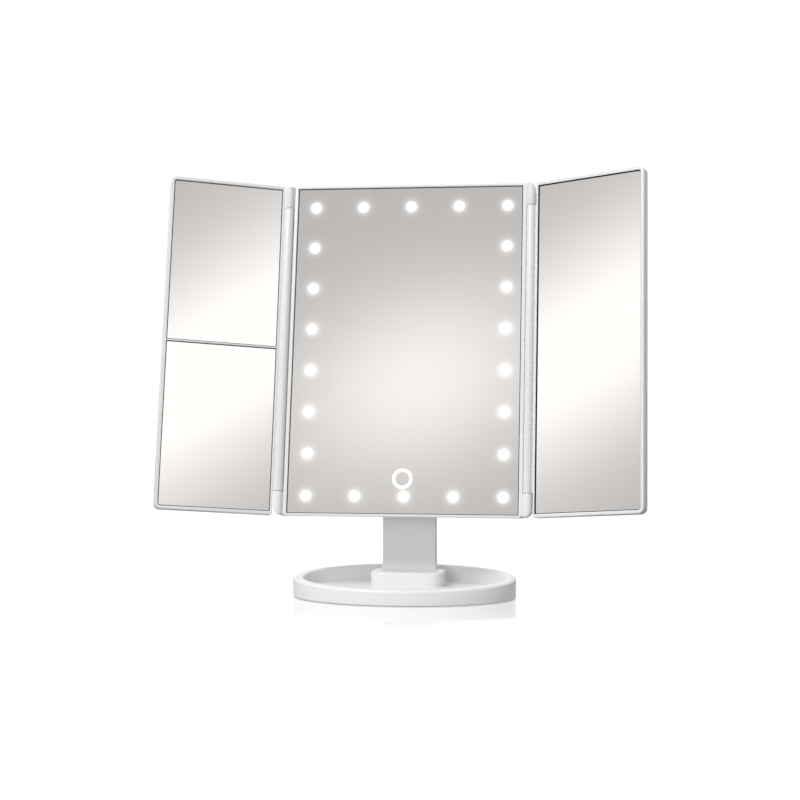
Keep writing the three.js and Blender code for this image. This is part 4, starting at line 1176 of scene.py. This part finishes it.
def screws():
    back = HOUSING_SCREW_BACK
    tip = SHELF_DEPTH + HEAD_WALL / 2 + SEAT_GAP
    for side, word in SIDES:
        for z, level in zip(HOUSING_SCREW_HEIGHTS, ("low", "high")):
            cross_screw(
                f"back_screw_{word}_{level}", facing_back(side * HOUSING_SCREW_X, back, z), "head",
                (HOUSING_SCREW_HEAD, HOUSING_SCREW_CAP), (HOUSING_SCREW_SHANK, back - tip),
                f"housing_screw_{word}_{level}",
            )
    places = [(x, y) for y in (-1, 1) for x in (-1, 1)]
    for number, (x, y) in enumerate(places, 1):
        across, along = x * COVER_SCREW_X, PLINTH_MIDDLE + y * COVER_SCREW_SPREAD
        place = Matrix.Translation((across, along, COVER_SCREW_LOW)) @ Matrix.Rotation(pi, 4, "X")
        cross_screw(
            f"base_screw_{number}", place, "stand", (COVER_SCREW_HEAD, COVER_SCREW_CAP),
            (COVER_SCREW_SHANK, COVER_SCREW_LENGTH), f"cover_screw_{number}",
        )


def tilt_pin(place):
    """Shaft with a domed slotted head."""
    start = -LUG_OUTER - SEAT_GAP
    end = LUG_OUTER + SEAT_GAP + NUT_LENGTH + SHAFT_TAIL
    cap = start - SHAFT_HEAD_LENGTH
    radius = SHAFT_HEAD_RADIUS
    profile = [(0, cap), (radius * 0.55, cap + 0.1), (radius * 0.85, cap + 0.5), (radius, cap + 1.1)]
    profile += [(radius, start), (TILT_SHAFT, start), (TILT_SHAFT, end - 0.4)]
    profile += [(TILT_SHAFT - 0.4, end), (0, end)]
    part = cut(turned(profile, 48), box(-0.5, 0.5, -6, 6, cap - 1, cap + 0.8))
    piece(part, "tilt_pin", "head", "bright_steel", ["tilt_shaft"], place=place, smooth_under=30)


def tilt_nut(place):
    """Six-sided nut with one end turned down."""
    low = LUG_OUTER + SEAT_GAP
    high = low + NUT_LENGTH
    bore = TILT_SHAFT + WASHER_GAP
    part = turned([(bore, low), (NUT_RADIUS, low), (NUT_RADIUS, high), (bore, high), (bore, low)], 6)
    chamfer = [(0, low - 1), (NUT_RADIUS, low - 1), (NUT_RADIUS, high - 0.5)]
    chamfer += [(NUT_RADIUS - 0.8, high), (0, high)]
    part = combine(part, turned(chamfer, 48), "INTERSECT")
    piece(part, "tilt_hex_nut", "head", "bright_steel", ["tilt_nut"], place=place, smooth_under=20)


def tilt_washer(side, word, place):
    near = NECK_WIDTH / 2 + SEAT_GAP
    low = near if side > 0 else -near - WASHER_THICKNESS
    high = low + WASHER_THICKNESS
    bore, rim, soft = TILT_SHAFT + WASHER_GAP, WASHER_RADIUS, 0.2
    profile = [(bore, low), (rim - soft, low), (rim, low + soft), (rim, high - soft)]
    profile += [(rim - soft, high), (bore, high), (bore, low)]
    piece(
        turned(profile, 48), f"tilt_washer_{word}", "head", "black_plastic",
        [f"friction_washer_{word}"], place=place,
    )


def tilt_hinge():
    """Shaft, nut and the two washers, all on one axis."""
    place = along_x(0, TILT_DEPTH, TILT_HEIGHT)
    tilt_pin(place)
    tilt_nut(place)
    for side, word in SIDES:
        tilt_washer(side, word, place)


# Wings


def wing_plate(side, front, back, inset=0.0, hinge_inset=0.0):
    """Outline of a wing, drawn in by one amount beside the hinge and by another elsewhere."""
    outer = max(WING_OUTER_CORNER - inset, 0.5)
    inner = max(WING_INNER_CORNER - inset, 0.3)
    x0, x1 = WING_INNER + hinge_inset, WING_OUTER - inset
    radii = (inner, outer, outer, inner)
    if side < 0:
        x0, x1 = -x1, -x0
        radii = (outer, inner, inner, outer)
    return plate(x0, x1, WING_LOW + inset, WING_HIGH - inset, front, back, radii)


def wing_frame(side, wing):
    """Rim, hinge barrel, and on the left wing the bar between the two mirrors."""
    recess = WING_FACE + WING_GLASS_DROP + WING_GLASS_THICKNESS + SEAT_GAP
    body = wing_plate(side, WING_FACE, WING_PARTING - SEAT_GAP)
    round_face(body, WING_FACE, WING_ROUNDING, 4)
    body = cut(body, wing_plate(side, -3, recess, WING_RIM, WING_HINGE_RIM))
    round_face(body, WING_FACE, WING_INNER_ROUND)
    part = bmesh.new()
    if side < 0:
        low, high = WING_MIDDLE - WING_BAR / 2, WING_MIDDLE + WING_BAR / 2
        bar = box(-WING_OUTER + 1, -WING_INNER - 1, WING_FACE + 0.2, recess + 0.5, low, high)
        merge(part, round_edges(bar, 0.2))
    merge(part, body)
    low = HEAD_LOW + KNUCKLE_LENGTH + SEAT_GAP
    high = HEAD_HIGH - KNUCKLE_LENGTH - SEAT_GAP
    merge(part, rod(COLUMN_RADIUS, low, high, SMALL_ROUND, 56))
    reach = sorted((0, side * (WING_INNER + WING_RIM / 2)))
    merge(part, box(*reach, WING_FACE + 0.3, COLUMN_RADIUS - 0.3, low, high))

    def recess_wall_in_painted_shade(face):
        x, y, z = face.calc_center_median()
        across = WING_INNER + WING_HINGE_RIM - 0.1 < x < WING_OUTER - WING_RIM + 0.1
        level = WING_LOW + WING_RIM - 0.1 < z < WING_HIGH - WING_RIM + 0.1
        return across and level and WING_FACE + 0.2 < y < recess and abs(face.normal.y) < 0.3

    finishes = [WHITE_GLOSS]
    if side > 0:
        # the photograph shows a dark line round the tall glass
        # painted shade: the walls of the recess round the tall glass take the dark finish, standing for
        # the shade in the gap
        mark_faces(part, 1, recess_wall_in_painted_shade)
        finishes.append(DARK_EDGE_AND_PAINTED_SHADE)
    piece(part, f"{wing}_rim", wing, "white_gloss", [f"{wing}_frame"], finishes)


def wing_back(side, wing):
    part = wing_plate(side, WING_PARTING, WING_BACK)
    round_face(part, WING_BACK, WING_BACK_ROUND, 4)
    piece(part, f"{wing}_back", wing, "white_gloss", [f"{wing}_back_cover"])


def wing_glass(side, wing, name, low, high, replaces):
    """Silvered glass with a fine bevel and dark paint round its edge and back; on the bevel the dark
    colour is painted shade for the gap round the glass.
    """
    front = WING_FACE + WING_GLASS_DROP
    near = WING_INNER + WING_HINGE_RIM + SEAT_GAP + GLASS_GAP
    x0, x1 = sorted((side * near, side * (WING_OUTER - WING_GLASS_INSET)))
    corner = WING_OUTER_CORNER - WING_RIM - SEAT_GAP
    low_corner = corner if low < WING_LOW + 5 else 0.3
    high_corner = corner if high > WING_HIGH - 5 else 0.3
    radii = (0.3, low_corner, high_corner, 0.3) if side > 0 else (low_corner, 0.3, 0.3, high_corner)
    part = plate(x0, x1, low, high, front, front + WING_GLASS_THICKNESS, radii)
    round_face(part, front, GLASS_BEVEL, 1)
    mark_faces(part, 1, lambda face: face.calc_center_median().y > front + NEAR)
    piece(part, name, wing, "mirror", [replaces], [WING_MIRROR, DARK_EDGE_AND_PAINTED_SHADE], smooth_under=20)


def wings():
    low, high = WING_LOW + WING_GLASS_INSET, WING_HIGH - WING_GLASS_INSET
    half = WING_BAR / 2 + SEAT_GAP + GLASS_GAP
    for side, word in SIDES:
        wing_frame(side, f"{word}_wing")
        wing_back(side, f"{word}_wing")
    wing_glass(-1, "left_wing", "left_upper_glass", WING_MIDDLE + half, high, "left_upper_mirror")
    wing_glass(-1, "left_wing", "left_lower_glass", low, WING_MIDDLE - half, "left_lower_mirror")
    wing_glass(1, "right_wing", "right_glass", low, high, "right_mirror")


# Stand


def tray_bowl():
    """Oval bowl with a rounded rim that slopes from back to front over a level floor."""
    outer = BASE_DEPTH / 2
    rim_middle = (RIM_FRONT + RIM_BACK) / 2
    foot = outer - RIM_WIDTH - TRAY_FILLET
    skirt = outer - BASE_WALL
    profile = [(0, TRAY_UNDER), (skirt, TRAY_UNDER), (skirt, BASE_LIFT)]
    profile += arc(outer - 0.5, BASE_LIFT + 0.5, 0.5, -90, 0, 4)
    profile += arc(outer - RIM_OUTER_ROUND, rim_middle - RIM_OUTER_ROUND, RIM_OUTER_ROUND, 0, 90, 10)
    across = outer - RIM_WIDTH + RIM_INNER_ROUND
    profile += arc(across, rim_middle - RIM_INNER_ROUND, RIM_INNER_ROUND, 90, 180, 8)
    profile += arc(foot, TRAY_FLOOR + TRAY_FILLET, TRAY_FILLET, 0, -90, 8)
    profile += [(30, TRAY_FLOOR), (0, TRAY_FLOOR)]
    part = stretched(turned(profile, 160), BASE_WIDTH / BASE_DEPTH)
    slope = (RIM_BACK - RIM_FRONT) / BASE_DEPTH
    for vert in part.verts:
        rise = (vert.co.z - TRAY_FLOOR) / (rim_middle - RIM_OUTER_ROUND - TRAY_FLOOR)
        vert.co.z += slope * vert.co.y * min(1.0, max(0.0, rise))
    return part


def base_tray():
    """Tray and the rounded block on its floor that the neck stands on."""
    part = tray_bowl()
    flare = PLINTH_FILLET
    rises = [(0, 0.2)] + corner_steps(flare, 6, hollow=True)
    rises += [(0, PLINTH_TOP - PLINTH_EDGE - TRAY_FLOOR - flare)] + corner_steps(PLINTH_EDGE, 5)
    block = raised_block(
        -PLINTH_HALF - flare, PLINTH_HALF + flare, PLINTH_FRONT - flare, PLINTH_BACK + flare,
        TRAY_FLOOR - 0.2, PLINTH_CORNER + flare, rises,
    )
    merge(part, block)
    piece(part, "tray_base", "stand", "white_gloss", ["base_tray"], smooth_under=30)


def base_underside():
    """Oval cover under the base, with seats for its screws and feet."""
    half = BASE_DEPTH / 2 - BASE_WALL - SEAT_GAP
    stretch = (BASE_WIDTH / 2 - BASE_WALL * BASE_WIDTH / BASE_DEPTH - SEAT_GAP) / half
    part = stretched(rod(half, COVER_LOW, COVER_TOP, 0.25, 128), stretch)
    for x in (-1, 1):
        for y in (-1, 1):
            screw = (x * COVER_SCREW_X, PLINTH_MIDDLE + y * COVER_SCREW_SPREAD, 0)
            holes = (
                (COVER_SCREW_SHANK + BORE_GAP, COVER_TOP + 1, screw),
                (COVER_SCREW_HEAD + BORE_GAP, COVER_LOW + COVER_SCREW_CAP, screw),
                (FOOT_PAD_RADIUS + 0.3, COVER_LOW + 0.5, (x * FOOT_PAD_X, y * FOOT_PAD_Y, 0)),
            )
            for radius, top, place in holes:
                part = cut(part, moved(rod(radius, 0, top), Matrix.Translation(place)))
    piece(part, "base_plate", "stand", "white_satin", ["bottom_cover"])


def foot_pads():
    """Soft round feet with a shallow groove in each sole."""
    inner, outer, depth = FOOT_GROOVE
    profile = [(0, 0), (inner, 0), (inner + depth, depth), (outer - depth, depth), (outer, 0)]
    profile += arc(FOOT_PAD_RADIUS - FOOT_PAD_ROUND, FOOT_PAD_ROUND, FOOT_PAD_ROUND, -90, 0, 4)
    profile += [(FOOT_PAD_RADIUS, FOOT_PAD_TOP), (0, FOOT_PAD_TOP)]
    places = [(x, y, 0) for y in (-FOOT_PAD_Y, FOOT_PAD_Y) for x in (-FOOT_PAD_X, FOOT_PAD_X)]
    for number, place in enumerate(places, 1):
        piece(
            turned(profile, 48), f"sole_pad_{number}", "stand", "grey_rubber",
            [f"rubber_foot_{number}"], place=Matrix.Translation(place),
        )


def neck_outline():
    """Side view of the neck: foot, flat front, and the round barrel at its top."""
    low = PLINTH_TOP + FOOT_GAP
    tip = NECK_FRONT - FOOT_REACH
    start = low + FOOT_EDGE + FOOT_RISE
    drop = degrees(asin((NECK_BACK - NECK_FRONT) / 2 / TILT_KNUCKLE))
    points = [(NECK_BACK, low)]
    points += arc(NECK_MIDDLE, NECK_TOP, TILT_KNUCKLE, drop - 90, 270 - drop, 54)
    steps = 16
    for i in range(steps + 1):
        angle = radians(90 * i / steps)
        points.append((tip + FOOT_REACH * cos(angle), start - FOOT_RISE * sin(angle)))
    points.append((tip, low))
    return points


def neck_front():
    """Neck with a flat face between two shallow slopes and a foot that curves on to the plinth."""
    half = NECK_WIDTH / 2
    flat = NECK_FACE_WIDTH / 2
    part = flat_part([(-half, y, z) for y, z in neck_outline()])
    faces = part.faces[:]
    for move in (half - flat, 2 * flat, half - flat):
        faces = extrude(part, faces, (move, 0, 0))
    faces_out(part)
    low = PLINTH_TOP + FOOT_GAP
    for vert in part.verts:
        beside = abs(vert.co.x) > flat + 0.1
        if beside and vert.co.y < NECK_MIDDLE and vert.co.z < NECK_TOP - TILT_KNUCKLE:
            rise = (vert.co.z - low - NECK_SLOPE_FROM) / NECK_SLOPE_RISE
            vert.co.y += NECK_FACE_SLOPE * min(1.0, max(0.0, rise))
        widening = max(0.0, 1 - (vert.co.z - low) / FOOT_RISE) ** 2
        if abs(vert.co.x) > half - 0.1:
            vert.co.x += copysign(FOOT_FLARE * widening, vert.co.x)
    pocket = half - NECK_WALL
    bore = rod(TILT_SHAFT + BORE_GAP, -NECK_WIDTH, NECK_WIDTH)
    part = cut(
        part,
        plate(
            -pocket, pocket, POCKET_LOW, POCKET_HIGH, NECK_FRONT + NECK_WALL, NECK_BACK + 1,
            (POCKET_CORNER,) * 4,
        ),
        moved(bore, along_x(0, NECK_MIDDLE, NECK_TOP)),
    )
    made = piece(part, "neck_front", "stand", "white_gloss", ["neck_front_shell"], smooth_under=8)
    bevel = made.modifiers.new("fine edges", "BEVEL")
    bevel.width = NECK_EDGE * MM
    bevel.segments = 3
    bevel.limit_method = "ANGLE"
    bevel.angle_limit = radians(35)
    bevel.harden_normals = True


def neck_back():
    half = NECK_WIDTH / 2 - NECK_WALL - SEAT_GAP
    low, high = POCKET_LOW + SEAT_GAP, POCKET_HIGH - SEAT_GAP
    radii = (POCKET_CORNER - SEAT_GAP,) * 4
    part = plate(-half, half, low, high, REAR_SHELL_FRONT, NECK_BACK, radii)
    round_face(part, NECK_BACK, SMALL_ROUND)
    piece(part, "neck_back", "stand", "white_gloss", ["neck_rear_shell"])


def carried_over():
    """Finishes of the solids that keep their own shape, most of them out of sight."""
    pins = [f"hinge_pin_{word}_{end}" for _, word in SIDES for end in ("low", "high")]
    strips = ["contact_strip_left", "contact_strip_right", "touch_sensor"]
    finishes = (
        (CIRCUIT_BOARD, ["led_board", "control_board"]),
        (BLACK_PLASTIC, ["board_connector", "switch_body"]),
        (SHEET_STEEL, ["ballast_plate", "neck_core_plate", "anchor_bracket"]),
        (BRIGHT_STEEL, pins + strips + ["neck_screw_left", "neck_screw_right"]),
        (RED_WIRE, ["battery_lead"]),
    )
    for material, names in finishes:
        for name in names:
            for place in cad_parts[name].material_slots:
                place.material = material


base_tray()
base_underside()
foot_pads()
neck_front()
neck_back()
centre_frame()
centre_mirror()
light_windows()
touch_ring()
rear_housing()
switch_words()
switch_knob()
power_inlet()
battery_door()
battery_cells()
screws()
tilt_hinge()
wings()
carried_over()


# Studio


def floor():
    part = bmesh.new()
    bmesh.ops.create_grid(part, x_segments=1, y_segments=1, size=6)
    made = scene_object("floor", mesh_of(part, "floor"))
    made.data.materials.append(floor_finish())


def floor_finish():
    """Pale floor with a soft sheen, lifted to white where the camera sees it unshaded."""
    material, shader = shader_of(
        "studio floor", Base_Color=(FLOOR_TONE, FLOOR_TONE, FLOOR_TONE, 1), Roughness=0.6,
        Specular_IOR_Level=0.0, Emission_Color=(1, 1, 1, 1),
    )
    path = node(shader, "ShaderNodeLightPath")
    give(shader, Emission_Strength=math("MULTIPLY", path.outputs["Is Camera Ray"], FLOOR_LIFT))
    sheen = node(shader, "ShaderNodeBsdfGlossy", Color=(1, 1, 1, 1), Roughness=FLOOR_BLUR)
    reach = node(shader, "ShaderNodeVectorMath", Vector=own_place(shader))
    reach.operation = "LENGTH"
    polish = spread(reach.outputs["Value"], FLOOR_SHEEN, 0.0, *SHEEN_FADE)
    mixed = node(shader, "ShaderNodeMixShader", Fac=polish)
    fill(mixed.inputs[1], shader.outputs["BSDF"])
    fill(mixed.inputs[2], sheen.outputs["BSDF"])
    give(material.node_tree.nodes["Material Output"], Surface=mixed.outputs["Shader"])
    return material


def area_light(name, azimuth, elevation, distance, size, power):
    data = bpy.data.lights.new(name, "AREA")
    data.shape = "DISK"
    data.size = size
    data.energy = power
    lamp = scene_object(name, data)
    a, e = radians(azimuth), radians(elevation)
    direction = Vector((sin(a) * cos(e), -cos(a) * cos(e), sin(e)))
    lamp.location = Vector(LAMP_AIM) + direction * distance
    lamp.rotation_mode = "QUATERNION"
    lamp.rotation_quaternion = direction.to_track_quat("Z", "Y")
    return lamp


def bank_glow(azimuth, elevation, bank):
    """Brightness of one bank of light in a direction."""
    middle, height, lean, wide, high, gain = bank
    across = math("SUBTRACT", azimuth, middle)
    up = math("SUBTRACT", math("SUBTRACT", elevation, height), math("MULTIPLY", across, lean))
    across = math("POWER", math("ABSOLUTE", math("DIVIDE", across, wide)), 2.0)
    up = math("POWER", math("ABSOLUTE", math("DIVIDE", up, high)), 2.0)
    fade = math("MULTIPLY", math("ADD", across, up), -1.0)
    return math("MULTIPLY", math("EXPONENT", fade), gain)


def studio_world():
    """Even pale room with the soft banks of light in front; the camera itself sees plain white."""
    world = bpy.data.worlds.new("studio")
    bpy.context.scene.world = world
    world.use_nodes = True
    background = world.node_tree.nodes["Background"]
    direction = node(background, "ShaderNodeTexCoord").outputs["Generated"]
    x, y, z = node(background, "ShaderNodeSeparateXYZ", Vector=direction).outputs
    azimuth = math("DEGREES", math("ARCTAN2", x, math("MULTIPLY", y, -1.0)))
    elevation = math("DEGREES", math("ARCSINE", z))
    level = ROOM_LEVEL
    for bank in LIGHT_BANKS:
        level = math("ADD", level, bank_glow(azimuth, elevation, bank))
    level = math("MINIMUM", level, ROOM_LIMIT)
    rays = node(background, "ShaderNodeLightPath").outputs
    diffuse = rays["Is Diffuse Ray"]
    plain = math("MAXIMUM", rays["Is Camera Ray"], rays["Is Transmission Ray"])
    behind = math("MULTIPLY", spread(y, 0.0, 1.0, *BEHIND_EDGE), math("SUBTRACT", 1.0, diffuse))
    plain = math("MAXIMUM", plain, behind)
    level = math("ADD", level, math("MULTIPLY", math("SUBTRACT", 1.0, level), plain))
    back_light = spread(y, 0.0, BACK_GAIN, *BACK_EDGE)
    ceiling = spread(elevation, 0.0, CEILING_GAIN, *CEILING_EDGE)
    level = math("ADD", level, math("MULTIPLY", math("ADD", back_light, ceiling), diffuse))
    drop = math("MULTIPLY", diffuse, 1.0 - DIFFUSE_LEVEL)
    level = math("MULTIPLY", level, math("SUBTRACT", 1.0, drop))
    give(background, Color=(1, 1, 1, 1), Strength=level)


def camera():
    data = bpy.data.cameras.new("camera")
    data.sensor_width = 36
    data.lens = CAMERA_LENS
    made = scene_object("camera", data)
    made.location = CAMERA_PLACE
    made.rotation_euler = [radians(turn) for turn in CAMERA_TURN]
    bpy.context.scene.camera = made


floor()
studio_world()
area_light("key", *KEY_LAMP)
# the glass does not mirror the fill lamp
area_light("fill", *FILL_LAMP).visible_glossy = False
camera()
bpy.context.scene.view_settings.view_transform = "Standard"
